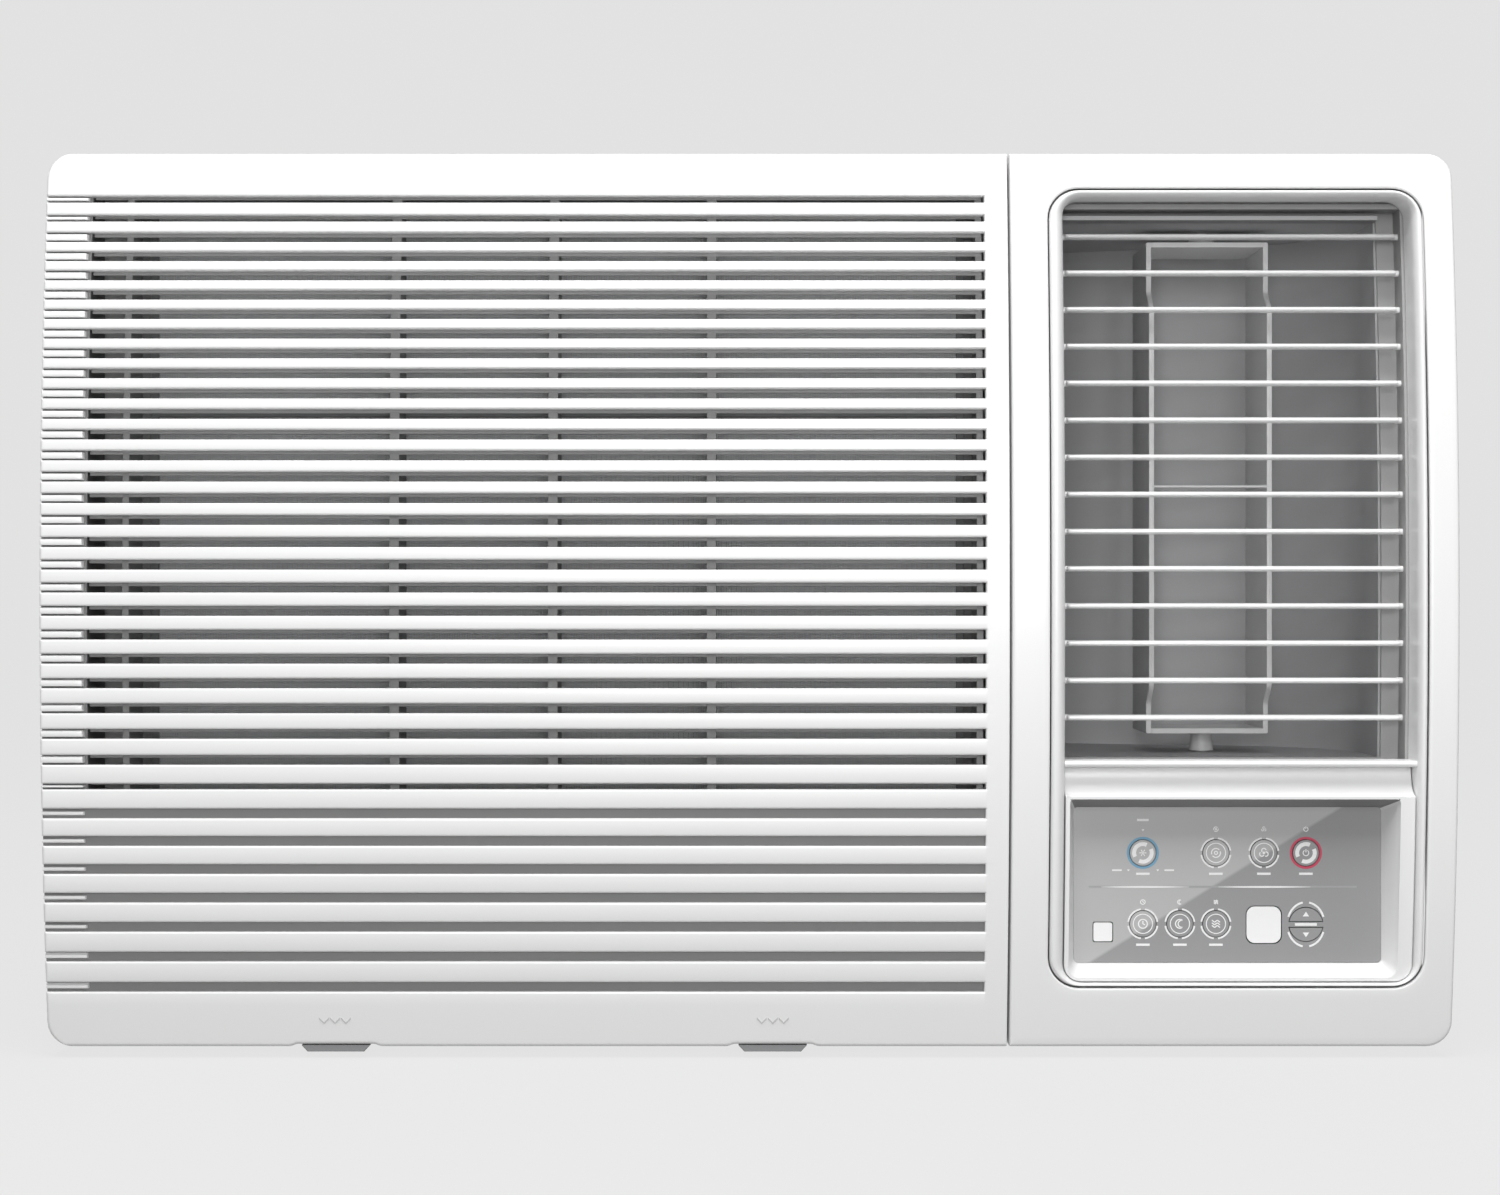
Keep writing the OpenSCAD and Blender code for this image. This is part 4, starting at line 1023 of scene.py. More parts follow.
@dataclass
class OutletBezel:
    """The raised frame in the outlet panel, with its rail."""

    ring: tuple[float, float, float, float] = (142.1 * MM, 319.3 * MM, 34.0 * MM, 412.5 * MM)
    mouth: tuple[float, float, float, float] = (149 * MM, 315 * MM, 35.8 * MM, 409.3 * MM)
    ring_r: float = 14.3 * MM
    mouth_r: float = 9 * MM
    depth: float = 24 * MM
    rail_z: float = 140 * MM

    def between(self, share: float) -> Array:
        """A loop between the ring (0) and the mouth (1)."""
        a = rounded_loop(*self.ring, (self.ring_r,) * 4)
        b = rounded_loop(*self.mouth, (self.mouth_r,) * 4)
        return a + (b - a) * share

    def build(self) -> None:
        """Loft the frame: up its outer edge, over a round rim, down a soft bevel into the mouth, and back."""
        section = [(0.0, 4.4), (0.0, 2.6), (0.02, 1.9), (0.06, 1.2), (0.12, 0.62), (0.19, 0.22), (0.27, 0.03),
                   (0.35, 0.0), (0.44, 0.06), (0.54, 0.34), (0.66, 1.0), (0.78, 2.0), (0.89, 3.3),
                   (0.97, 4.9), (1.0, 6.6), (1.0, 12.0), (1.0, 24.0)]
        rings = [crown(loop[:, 0], d * MM, loop[:, 1])
                 for loop, d in ((self.between(s), d) for s, d in section)]
        back = self.between(0.72)
        rings.append(crown(back[:, 0], self.depth, back[:, 1]))
        rings.append(crown(back[:, 0], 4.4 * MM, back[:, 1]))
        shape = Shape()
        shape.grid(np.stack(rings), wrap_rows=True, wrap_cols=True)
        a = np.radians(np.linspace(90, 270, 9))
        nose = np.stack([4.0 * MM + 1.5 * MM + 1.5 * MM * np.cos(a), self.rail_z + 1.5 * MM * np.sin(a)], -1)
        tail = [[self.depth, self.rail_z - 1.5 * MM], [self.depth, self.rail_z + 1.5 * MM]]
        bar = np.concatenate([nose, tail])
        x = np.array([self.mouth[0] - 0.2 * MM, self.mouth[1] + 0.2 * MM])
        rings = np.stack([crown(np.full(len(bar), v), bar[:, 0], bar[:, 1]) for v in x])
        shape.solid(rings)
        bezel = shape.object("outlet_bezel_frame", finish(Kit.WHITE), 40.0)
        place_piece(bezel, "chassis", ["outlet_bezel"])


@dataclass
class LouvreBlades:
    """The horizontal blades: a round-nosed section that thins towards its tail, on two pins."""

    count: int = 14
    thick: float = 2.8 * MM
    chord: float = 13 * MM
    pin_r: float = 1.5 * MM
    crank: float = 5 * MM
    crank_r: float = 0.8 * MM

    def section(self) -> Array:
        """Points (y, z) round the blade: a superellipse of power 2.6, thinned smoothly towards the tail."""
        a = np.linspace(0, 2 * math.pi, 36, endpoint=False)
        c, s = np.cos(a), np.sin(a)
        y = np.sign(c) * np.abs(c) ** (2 / 2.6) * self.chord / 2
        taper = 1 - 0.35 * smooth((y / self.chord + 0.1) / 0.6)
        z = np.sign(s) * np.abs(s) ** (2 / 2.6) * self.thick / 2 * taper
        return np.stack([y, z], -1)

    def build(self) -> None:
        """Make one piece for each blade, where its CAD node lies."""
        section = self.section()
        for i in range(1, self.count + 1):
            lo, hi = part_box(f"louvre_blade_{i}")
            y, z = (lo.y + hi.y) / 2, (lo.z + hi.z) / 2
            x0, x1 = lo.x + 4.4 * MM, hi.x - 4.2 * MM
            shape = Shape()
            ends = np.array([0.0, 0.25, 0.9, 1.6]) * MM
            scale = np.array([0.72, 0.9, 0.99, 1.0])
            x = np.concatenate([x0 + ends, x1 - ends[::-1]])
            k = np.concatenate([scale, scale[::-1]])
            rings = np.stack([np.broadcast_to(x[:, None], (len(x), len(section))),
                              y + k[:, None] * section[:, 0], z + k[:, None] * section[:, 1]], -1)
            shape.solid(rings)
            for a, b in ((lo.x, x0 + 1 * MM), (x1 - 1 * MM, hi.x)):
                shape.tube(np.linspace((a, y, z), (b, y, z), 4), self.pin_r, 16)
            shape.tube(np.linspace((150.2 * MM, y + self.crank, z), (x0 + 1 * MM, y + self.crank, z), 4),
                       self.crank_r, 12)
            blade = shape.object(f"blade_{i}_shape", finish(Kit.BLADE_WHITE), 40.0)
            place_piece(blade, f"blade_{i}", [f"louvre_blade_{i}"])


@dataclass
class SwingVane:
    """The double vertical vane: two notched plates with round edges, joined by plates at both ends."""

    pivot: tuple[float, float] = (227 * MM, -245 * MM)
    half: float = 29 * MM
    thick: float = 2.4 * MM

    def plate(self, shape: Shape, x: float, lo: float, hi: float) -> None:
        """One vane: its side outline carried across its thickness, with eased rims."""
        t = np.linspace(0, 1, 9)
        bow = -266 - 12 * smooth(t)
        side = np.concatenate([[(-210, lo), (-266, lo)], np.stack([bow, 165 + 11 * t], -1),
                               np.stack([bow[::-1], 360 + 11 * t], -1), [(-266, hi), (-210, hi)]])
        mid = side.mean(0)
        rings = []
        for dx, inset in ((-0.5, 0.5), (-0.3, 0.0), (0.3, 0.0), (0.5, 0.5)):
            towards = mid - side
            unit = towards / np.linalg.norm(towards, axis=1, keepdims=True)
            q = (side + unit * inset) * MM
            rings.append(np.stack([np.full(len(q), x + dx * self.thick), q[:, 0], q[:, 1]], -1))
        shape.solid(np.array(rings))

    def build(self) -> None:
        """Make the cage and its bosses."""
        low, high = 151.3, 394.9
        x, y = self.pivot
        shape = Shape()
        for side in (-1, 1):
            self.plate(shape, x + side * self.half, low, high)
        for z in (low, high - 2.4):
            loop = rounded_loop(x - self.half - 0.6 * MM, x + self.half + 0.6 * MM, -266 * MM, -210 * MM,
                                (3 * MM,) * 4, 6, 4)
            rings = [np.stack([loop[:, 0], loop[:, 1], np.full(len(loop), (z + d) * MM)], -1)
                     for d in (0.0, 2.4)]
            shape.solid(np.array(rings))
        shape.block((x - self.half, -278 * MM, 272.8 * MM), (x + self.half, -274 * MM, 274 * MM), 0.3 * MM)
        top = np.array([(0.2, 392.6), (7.0, 393.2), (6.8, 396.5), (5.0, 401.0), (2.9, 401.1), (2.9, 403.4),
                        (0.2, 403.5)]) * MM
        shape.revolve(top, (x, y, 0.0), "Z", 32)
        base = np.array([(0.2, 131.0), (3.0, 131.2), (3.0, 141.9), (6.0, 142.0), (5.2, 149.6), (5.2, 152.4),
                         (0.2, 152.5)]) * MM
        shape.revolve(base, (x, y, 0.0), "Z", 32)
        vane = shape.object("swing_vane_cage", finish(Kit.VANE_GREY), 35.0)
        place_piece(vane, "vane", ["swing_vane"])


@dataclass
class AirChute:
    """The bent duct from the blower to the outlet: walls on one smooth plan, a floor and a ceiling."""

    low: float = 141.5 * MM
    high: float = 401.5 * MM
    thick: float = 2.0 * MM
    mouth_setback: float = 43.4 * MM

    def wall(self, shape: Shape, plan: Array, side: float) -> None:
        """A wall along a plan of (x, y) points, thick to one side. Its first point follows the crown."""
        step = np.gradient(plan, axis=0)
        normal = np.stack([-step[:, 1], step[:, 0]], -1) / np.linalg.norm(step, axis=1, keepdims=True)
        z = np.linspace(self.low - self.thick, self.high + self.thick, 24)[:, None]
        skins = []
        for line in (plan, plan + normal * side * self.thick):
            y = np.broadcast_to(line[:, 1], (len(z), len(line))).copy()
            y[:, 0] = FRONT_Y + sag(z[:, 0]) + self.mouth_setback
            skins.append(np.stack(np.broadcast_arrays(line[:, 0], y, z), -1))
        rings = np.concatenate([skins[0], skins[1][:, ::-1]], 1)
        shape.grid(rings, wrap_cols=True)
        n = len(plan)
        for row in (rings[0], rings[-1]):
            shape.grid(np.stack([row[:n], row[n:][::-1]]))

    def plate(self, shape: Shape, left: Array, right: Array, z0: float, z1: float) -> None:
        """The floor or the ceiling: the surface between two plans with the same number of points."""
        t = np.linspace(0, 1, 7)[:, None, None]
        flat = left + (right - left) * t
        rows = [np.concatenate([flat, np.full((*flat.shape[:2], 1), z)], -1) for z in (z0, z1)]
        for row in rows:
            shape.grid(row)
        shape.grid(np.stack([grid_rim(row) for row in rows]), wrap_cols=True)

    def build(self) -> None:
        """Make the duct."""
        a = np.linspace(0, math.pi / 2, 33)
        bend = np.stack([214 + 90 * np.cos(a), -265 + 90 * np.sin(a)], -1)
        run = np.linspace(0, 1, 13)[1:, None]
        slant = bend[-1] + (np.array([131.6, -142]) - bend[-1]) * run
        right = np.concatenate([[(304, -300)], bend, slant]) * MM
        left = rounded_path(np.array([(150, -300), (150, -226), (131.6, -226)]) * MM, 3 * MM, len(right) - 3)
        shape = Shape()
        self.wall(shape, right, -1.0)
        self.wall(shape, left, 1.0)
        mouth = FRONT_Y + float(sag(self.low)) + self.mouth_setback
        for line in (left, right):
            line[0, 1] = mouth
        self.plate(shape, left, right, self.low - self.thick, self.low)
        self.plate(shape, left, right, self.high, self.high + self.thick)
        duct = shape.object("air_chute_duct", finish(Kit.DUCT_GREY), 40.0)
        place_piece(duct, "chassis", ["air_chute"])


# ---------------------------------------------------------------- the case and what is in it

@dataclass
class Cabinet:
    """The outer case: folded sheet with round corners, slots under pressed hoods, and a rear flange."""

    half: float = 327 * MM
    top: float = 424 * MM
    sheet: float = 1.2 * MM
    front_y: float = -279 * MM
    back_y: float = 350 * MM
    fold_r: float = 5 * MM
    flange: float = 14 * MM
    rise: float = 3.4 * MM

    def section(self) -> tuple[Array, Array]:
        """The case's outline from the front, as points and outward normals, with a line at every slot."""
        r = self.fold_r
        side = merged_lines([r, self.top - r], *[(70 + 22 * i + np.array([0, 6])) * MM for i in range(14)])
        banks = [(190 * j + np.array([-255, -125])) * MM for j in range(3)]
        top = merged_lines([-self.half + r, self.half - r], *banks, np.linspace(-300, 300, 13) * MM)
        a = np.linspace(0, math.pi / 2, 7)
        c, h = self.half - r, self.top - r
        arc = lambda cx, cz, start: np.stack([cx + r * np.cos(start - a), cz + r * np.sin(start - a)], -1)
        arc_n = lambda start: np.stack([np.cos(start - a), np.sin(start - a)], -1)
        line = lambda x, z, n: (np.stack(np.broadcast_arrays(x, z), -1),
                                np.broadcast_to(n, (max(np.size(x), np.size(z)), 2)))
        parts = [line(-self.half, side, (-1, 0)), (arc(-c, h, math.pi)[1:-1], arc_n(math.pi)[1:-1]),
                 line(top, self.top, (0, 1)), (arc(c, h, math.pi / 2)[1:-1], arc_n(math.pi / 2)[1:-1]),
                 line(self.half, side[::-1], (1, 0)), (arc(c, r, 0)[1:-1], arc_n(0)[1:-1]),
                 line(top[::-1], 0.0, (0, -1)), (arc(-c, r, -math.pi / 2)[1:-1], arc_n(-math.pi / 2)[1:-1])]
        points, normals = (np.concatenate([p[k] for p in parts]) for k in (0, 1))
        return np.concatenate([points, points[:1]]), np.concatenate([normals, normals[:1]])

    def build(self) -> None:
        """Make the case: outer and inner skins with the slots left out, their edges, and the flange."""
        p, n = self.section()
        y = merged_lines([self.front_y, self.back_y - self.sheet, self.back_y],
                         np.array([150, 215, 235, 300]) * MM,
                         *[(150 + 18 * i + np.array([0, 6])) * MM for i in range(10)],
                         np.linspace(-260, 140, 9) * MM)
        mid, ym = (p[1:] + p[:-1]) / 2, (y[1:] + y[:-1]) / 2
        step = np.mod(mid[:, 1] - 70 * MM, 22 * MM)
        on_side = (np.abs(mid[:, 0]) > self.half - MM) & (step < 6 * MM) & (mid[:, 1] > 70 * MM) \
            & (mid[:, 1] < 365 * MM)
        bank = (np.abs(ym - 182.5 * MM) < 32.5 * MM) | (np.abs(ym - 267.5 * MM) < 32.5 * MM)
        across = np.min([np.abs(mid[:, 0] - (190 * j - 190) * MM) for j in range(3)], axis=0) < 65 * MM
        rows = (np.mod(ym - 150 * MM, 18 * MM) < 6 * MM) & (ym > 150 * MM) & (ym < 320 * MM)
        hole = (on_side[:, None] & bank) | ((across & (mid[:, 1] > self.top - MM))[:, None] & rows)
        skin = lambda q: np.stack(np.broadcast_arrays(q[:, 0, None], y[None, :], q[:, 1, None]), -1)
        outer, inner = skin(p), skin(p - n * self.sheet)
        inner[:, -1, 1] = self.back_y - self.sheet
        shape = Shape()
        shape.grid(outer, keep=~hole)
        shape.grid(inner[:, :-1], keep=~hole[:, :-1])
        shape.edges_of(hole[:, :-1], outer[:, :-1], inner[:, :-1])
        shape.grid(np.stack([outer[:, 0], inner[:, 0]]))
        limit = np.array([self.half - self.flange, 1.0, self.top - self.flange])
        lip = np.clip(outer[:, -1], -limit, limit)
        lip[:, 2] = np.maximum(lip[:, 2], self.flange)
        back = lip - (0, self.sheet, 0)
        shape.grid(np.stack([outer[:, -1], lip, back, inner[:, -2]]))
        case = shape.object("cabinet_case", finish(Kit.CASE), 35.0)
        place_piece(case, "cabinet", ["cabinet_shell"])
        hoods = Shape()
        for side in (-1, 1):
            for i in range(14):
                for yc in (182.5, 267.5):
                    self.hood(hoods, side, yc * MM, (76 + 22 * i) * MM, 33.5 * MM)
        for i in range(10):
            for j in range(3):
                self.hood(hoods, 0, (190 * j - 190) * MM, (156 + 18 * i) * MM, 66 * MM)
        place_piece(hoods.object("cabinet_hoods", finish(Kit.CASE), 50.0), "cabinet")
        self.fittings()

    def hood(self, shape: Shape, side: int, along: float, edge: float, half: float) -> None:
        """A pressed hood over one slot: its height rises as a sine from the closed edge to the open lip and
        falls off towards both ends as 1 - u to the fourth.

        Args:
            shape: Where to add it.
            side: -1 or 1 for the sides, 0 for the top.
            along: Middle of the slot along its length.
            edge: Where the closed edge lies.
            half: Half the hood's length.
        """
        u = np.linspace(-1, 1, 15)[:, None]
        v = np.concatenate([np.linspace(0, 1, 7), np.linspace(1, 0, 7)])[None, :]
        inner = np.arange(14)[None, :] >= 7
        height = self.rise * np.sin(v * math.pi / 2) * (1 - u ** 4) - np.where(inner, 0.7 * MM, 0.0)
        height = np.maximum(height, -0.5 * MM) + 0.05 * MM
        a, b = along + u * half + 0 * v, edge + 1.2 * MM - v * 7.6 * MM + 0 * u
        order = (side * (self.half + height), a, b) if side else (a, b, self.top + height)
        shape.solid(np.stack(order, -1))

    def fittings(self) -> None:
        """Raised rims where the side curtains and the top rail are bolted, and dark discs in their bores that
        paint the shade inside them.
        """
        rims, bores = Shape(), Shape()
        rim = np.array([(2.5, -0.3), (2.6, 0.5), (3.4, 0.8), (4.6, 0.6), (5.4, 0.0), (5.4, -0.3)]) * MM
        disc = np.array([(0.05, 0.0), (2.45, 0.0), (2.45, -0.9), (0.05, -0.9)]) * MM
        for side in (-1, 1):
            for z in (60 * MM, 364 * MM):
                for shape, profile in ((rims, rim), (bores, disc)):
                    shape.turned_ring(profile * (1, side), (side * self.half, -190 * MM, z), "X", 32)
            for shape, profile in ((rims, rim), (bores, disc)):
                shape.turned_ring(profile, (side * 200 * MM, -190 * MM, self.top), "Z", 32)
        place_piece(rims.object("bolt_rims", finish(Kit.CASE)), "cabinet")
        # Painted shade: dark discs fill the bores.
        place_piece(bores.object("bolt_bore_shades", finish(Kit.RUBBER_AND_BORE_SHADE)), "cabinet")


@dataclass
class Coil:
    """A finned coil: thin waved plates between two end plates, and one serpentine of tube for each row."""

    name: str
    x: tuple[float, float]
    y: tuple[float, float]
    z: tuple[float, float]
    rows: int = 10
    pitch: float = 2.4 * MM
    leaf: float = 0.25 * MM
    tube_r: float = 4.5 * MM

    def plates(self) -> Shape:
        """The fins: each plate's plan is a wave, x plus 0.45 mm times the sine of three turns."""
        shape = Shape()
        t = np.linspace(0, 1, 13)
        y = self.y[0] + (self.y[1] - self.y[0]) * t
        wave = 0.45 * MM * np.sin(t * 6 * math.pi)
        count = int((self.x[1] - self.x[0] - 2 * self.leaf) / self.pitch)
        for x in np.linspace(self.x[0] + 1.0 * MM, self.x[1] - 1.0 * MM, count):
            near, far = np.stack([x + wave, y], -1), np.stack([x + wave + self.leaf, y], -1)
            loop = np.concatenate([near, far[::-1]])
            rings = [np.concatenate([loop, np.full((len(loop), 1), z)], -1) for z in self.z]
            shape.grid(np.array(rings), wrap_cols=True)
            half = len(t)
            for ring in rings:
                shape.grid(np.stack([ring[:half], ring[half:][::-1]]))
        return shape

    def serpentine(self, row: int) -> Array:
        """The path of one row: straight runs, joined by half circles on the left after even runs."""
        pitch = (self.z[1] - self.z[0]) / self.rows
        z = self.z[0] + pitch * (np.arange(self.rows) + 0.5)
        a = np.linspace(-math.pi / 2, math.pi / 2, 13)
        ends = (self.x[0] - 2 * MM, self.x[1] + 2 * MM)
        parts = [[(ends[1], z[0])]]
        for i in range(self.rows - 1):
            sign, x = (-1, ends[0]) if i % 2 == 0 else (1, ends[1])
            bend = np.stack([x + sign * pitch / 2 * np.cos(a), z[i] + pitch / 2 * (1 + np.sin(a))], -1)
            parts.append(bend)
        parts.append([(ends[1], z[-1])])
        flat = np.concatenate(parts)
        y = self.y[0] + (self.y[1] - self.y[0]) * (0.25 + 0.5 * row)
        return np.stack([flat[:, 0], np.full(len(flat), y), flat[:, 1]], -1)

    def build(self) -> None:
        """Make fins, end plates and tubes."""
        place_piece(self.plates().object(f"{self.name}_leaves", finish(Kit.FINS), 60.0), "chassis",
                    [f"{self.name}_fins"])
        ends = Shape()
        for x in (self.x[0] - 1.2 * MM, self.x[1]):
            ends.block((x, self.y[0], self.z[0]), (x + 1.2 * MM, self.y[1], self.z[1]), 0.3 * MM)
        place_piece(ends.object(f"{self.name}_end_plates", finish(Kit.ZINC)), "chassis")
        tubes = Shape()
        for row in (0, 1):
            tubes.tube(self.serpentine(row), self.tube_r, 16)
        place_piece(tubes.object(f"{self.name}_serpentines", finish(Kit.COPPER), 50.0), "chassis",
                    [f"{self.name}_tubes"])


@dataclass
class FanRotor:
    """The shaft's two wheels: the squirrel cage in the scroll and the propeller behind the motor."""

    wheel_blades: int = 30
    fan_y: float = 165 * MM
    fan_blades: int = 5
    chord: float = 42 * MM

    def ring(self, shape: Shape, profile: Sequence[Sequence[float]], steps: int = 96) -> None:
        """A turned part on the shaft, from (radius, y) points in mm."""
        shape.turned_ring(np.array(profile, float) * MM, (SHAFT_X, 0.0, SHAFT_Z), "Y", steps)

    def around(self, radius: Array, angle: Array, y: Array) -> Array:
        """Points at a radius and an angle round the shaft."""
        radius, angle, y = np.broadcast_arrays(radius, angle, y)
        return np.stack([SHAFT_X + radius * np.cos(angle), y, SHAFT_Z - radius * np.sin(angle)], -1)

    def squirrel_cage(self) -> None:
        """The blower wheel: curved blades between a back plate and a front ring. Along a blade the angle
        grows as 0.11 t + 0.05 t squared while the radius grows evenly."""
        shape = Shape()
        self.ring(shape, [(8, -150.2), (104.4, -150), (105, -150.6), (105, -152.6), (104.4, -153), (60, -153),
                          (30, -156), (15, -160), (15, -167.5), (14.4, -168), (8, -168)])
        self.ring(shape, [(6.5, -144), (14.4, -144), (15, -144.6), (15, -150.3), (6.5, -150.3)], 48)
        self.ring(shape, [(89.6, -215), (104.4, -215), (105, -214.4), (105, -211.6), (104.4, -211),
                          (89.6, -211), (89, -211.6), (89, -214.4)])
        t = np.linspace(0, 1, 9)
        r = (89.4 + 15.0 * t) * MM
        lean = 0.11 * t + 0.05 * t ** 2
        thick = (0.75 - 0.3 * t) * MM
        radius = np.concatenate([r, r[::-1]])
        offset = np.concatenate([thick, -thick[::-1]]) / radius
        y = np.array([-213.0, -182.0, -151.0])[:, None] * MM
        for k in range(self.wheel_blades):
            angle = 2 * math.pi * k / self.wheel_blades + np.concatenate([lean, lean[::-1]]) + offset
            shape.solid(self.around(radius[None, :], angle[None, :], y))
        place_piece(shape.object("blower_cage", finish(Kit.WHEEL), 35.0), "fan_rotor",
                    ["blower_wheel"])

    def propeller(self) -> None:
        """The condenser fan: each blade is a function of span u and chord v = cos a. Its pitch falls from 33
        to 21 degrees, its chord is round at the tip, and its skin lies 1 mm times sin a off a bent middle."""
        shape = Shape()
        self.ring(shape, [(6.6, 143), (9, 142), (28, 142), (32, 143.4), (34, 147), (34, 187.4), (33.4, 188),
                          (30, 188), (30, 150), (12, 150), (12, 186), (6.6, 186)], 72)
        self.ring(shape, [(183, 174.5), (184, 174), (185.4, 174), (186, 174.6), (186, 185.4), (185.4, 186),
                          (184, 186), (183, 185.5)], 128)
        u = np.linspace(0, 1, 22)[:, None]
        a = np.linspace(0, 2 * math.pi, 28, endpoint=False)[None, :]
        v, skin = np.cos(a), np.sin(a) * 1.0 * MM
        radius = (31 + 146 * u) * MM
        pitch = np.radians(33 - 12 * u)
        tip = np.sqrt(1 - 0.55 * smooth((u - 0.86) / 0.14) ** 2)
        half = self.chord * (0.66 + 0.34 * smooth(u / 0.6)) * tip
        camber = -5 * MM * (1 - v ** 2) * (0.4 + 0.6 * u)
        y = self.fan_y - v * half * np.sin(pitch) + camber * 0.6 + skin
        sweep = 0.10 * u ** 2
        for k in range(self.fan_blades):
            angle = 2 * math.pi * k / self.fan_blades - v * half * np.cos(pitch) / radius - sweep
            shape.solid(self.around(radius, angle, y))
            base = 2 * math.pi * k / self.fan_blades - 0.10
            corner = self.around(np.array([171, 171, 184.5, 184.5]) * MM,
                                 base + np.array([-0.03, 0.03, 0.022, -0.022]), 0.0)
            rings = np.stack([corner + (0, h, 0) for h in (176.4 * MM, 183.6 * MM)])
            shape.solid(rings)
        place_piece(shape.object("propeller", finish(Kit.WHEEL), 35.0), "fan_rotor",
                    ["condenser_fan"])

    def build(self) -> None:
        """Make both wheels."""
        self.squirrel_cage()
        self.propeller()


@dataclass
class Machinery:
    """Compressor, fan motor and the refrigerant pipes."""

    can: tuple[float, float] = (215 * MM, 30 * MM)

    def compressor(self) -> None:
        """A domed can in two halves with a weld bead between, its foot plate, a stub and a terminal cover."""
        shape = Shape()
        a = np.linspace(0, math.pi / 2, 15)
        low = np.stack([66 * np.sin(a), 78 - 25.6 * np.cos(a)], -1)
        high = np.stack([65.2 * np.cos(a), 270 + 33.5 * np.sin(a)], -1)
        bead = np.array([(66, 118), (66, 206), (66.4, 207), (67.4, 208), (67.6, 209.5), (66.8, 211),
                         (65.4, 212)])
        low[0, 0] = 0.05
        stub = [(5.6, 303.6), (5.6, 311.4), (5.0, 312), (0.05, 312)]
        profile = np.concatenate([low, bead, high[:-1], stub])
        shape.revolve(profile * MM, (*self.can, 0.0), "Z", 96)
        loop = rounded_loop(145 * MM, 285 * MM, -35 * MM, 95 * MM, (14 * MM,) * 4, 8, 4)
        mid = loop.mean(0)
        rings = []
        for z, inset in ((48, 0.5), (48.5, 0.0), (53.5, 0.0), (54, 0.5)):
            q = mid + (loop - mid) * (1 - inset / 70)
            rings.append(np.stack([q[:, 0], q[:, 1], np.full(len(q), z * MM)], -1))
        shape.solid(np.array(rings))
        shape.block((270 * MM, 8 * MM, 225 * MM), (284 * MM, 52 * MM, 262 * MM), 3 * MM)
        place_piece(shape.object("compressor_can", finish(Kit.BLACK_PAINT), 35.0), "chassis",
                    ["compressor"])

    def motor(self) -> None:
        """The fan motor: a can with a rolled belt between two bearing bosses."""
        shape = Shape()
        profile = [(6.7, -112), (20.6, -112), (22, -110.6), (22, -101), (24, -100.2), (50, -100), (55, -98.6),
                   (57.4, -95.6), (58, -91), (58, -59), (58.6, -58), (61.2, -58), (62, -57.2), (62, -50.6),
                   (61.4, -50), (62, -49.4), (62, -42.8), (61.2, -42), (58.6, -42), (58, -41), (58, -9),
                   (57.4, -4.4), (55, -1.4), (50, 0), (24, 0.2), (22, 1), (22, 10.6), (20.6, 12), (6.7, 12)]
        shape.turned_ring(np.array(profile) * MM, (SHAFT_X, 0.0, SHAFT_Z), "Y", 96)
        place_piece(shape.object("fan_motor_can", finish(Kit.MOTOR_PAINT), 30.0), "chassis",
                    ["fan_motor"])

    def pipes(self) -> None:
        """Suction, discharge and liquid lines as smooth tubes on the CAD routes, with brazed collars."""
        row = lambda z0, z1, i: z0 + (z1 - z0) * (i + 0.5) / 10
        evap = lambda j: -272 + 40 * (0.25 + 0.5 * j)
        ein, eout = (94.3, evap(1), row(30, 400, 0)), (94.3, evap(0), row(30, 400, 9))
        cin, cout = (294.3, 301.25, row(12, 410, 9)), (294.3, 301.25, row(12, 410, 0))
        runs = (([eout, (140, eout[1], eout[2]), (140, eout[1], 412), (140, -165, 412), (262, -165, 412),
                  (262, -165, 350), (262, -95, 350), (215, -95, 350), (215, -95, 250),
                  (215, -36.5, 250)], 12, 5),
                ([(215, 30, 312.3), (215, 30, cin[2]), (310, 30, cin[2]), (310, cin[1], cin[2]), cin], 7, 4),
                ([cout, (309, cout[1], cout[2]), (309, -60, cout[2]), (309, -60, 350), (284, -60, 350),
                  (284, -150, 350), (284, -150, 414), (125, -150, 414), (125, ein[1], 414),
                  (125, ein[1], ein[2]), ein], 6, 3))
        shape = Shape()
        for points, bend, radius in runs:
            path = rounded_path(np.array(points) * MM, bend * MM, 10)
            shape.tube(path, radius * MM, 20)
            for end, towards in ((path[0], path[1]), (path[-1], path[-2])):
                way = (towards - end) / np.linalg.norm(towards - end)
                t = np.array([0.0, 0.6, 3.4, 4.4])[:, None] * MM
                shape.tube(end + way * t, (radius + np.array([0.3, 0.9, 0.9, 0.1])) * MM, 20)
        place_piece(shape.object("pipework", finish(Kit.COPPER), 50.0), "chassis",
                    ["refrigerant_pipes"])

    def build(self) -> None:
        """Make the sealed parts and the pipes."""
        self.compressor()
        self.motor()
        self.pipes()


# ---------------------------------------------------------------- controls

class Glyph(Enum):
    """The plain signs printed on and round the keys."""

    FLAKE = "flake"
    RINGS = "rings"
    FAN = "fan"
    POWER = "power"
    CLOCK = "clock"
    MOON = "moon"
    WAVES = "waves"
    UP = "up"
    DOWN = "down"


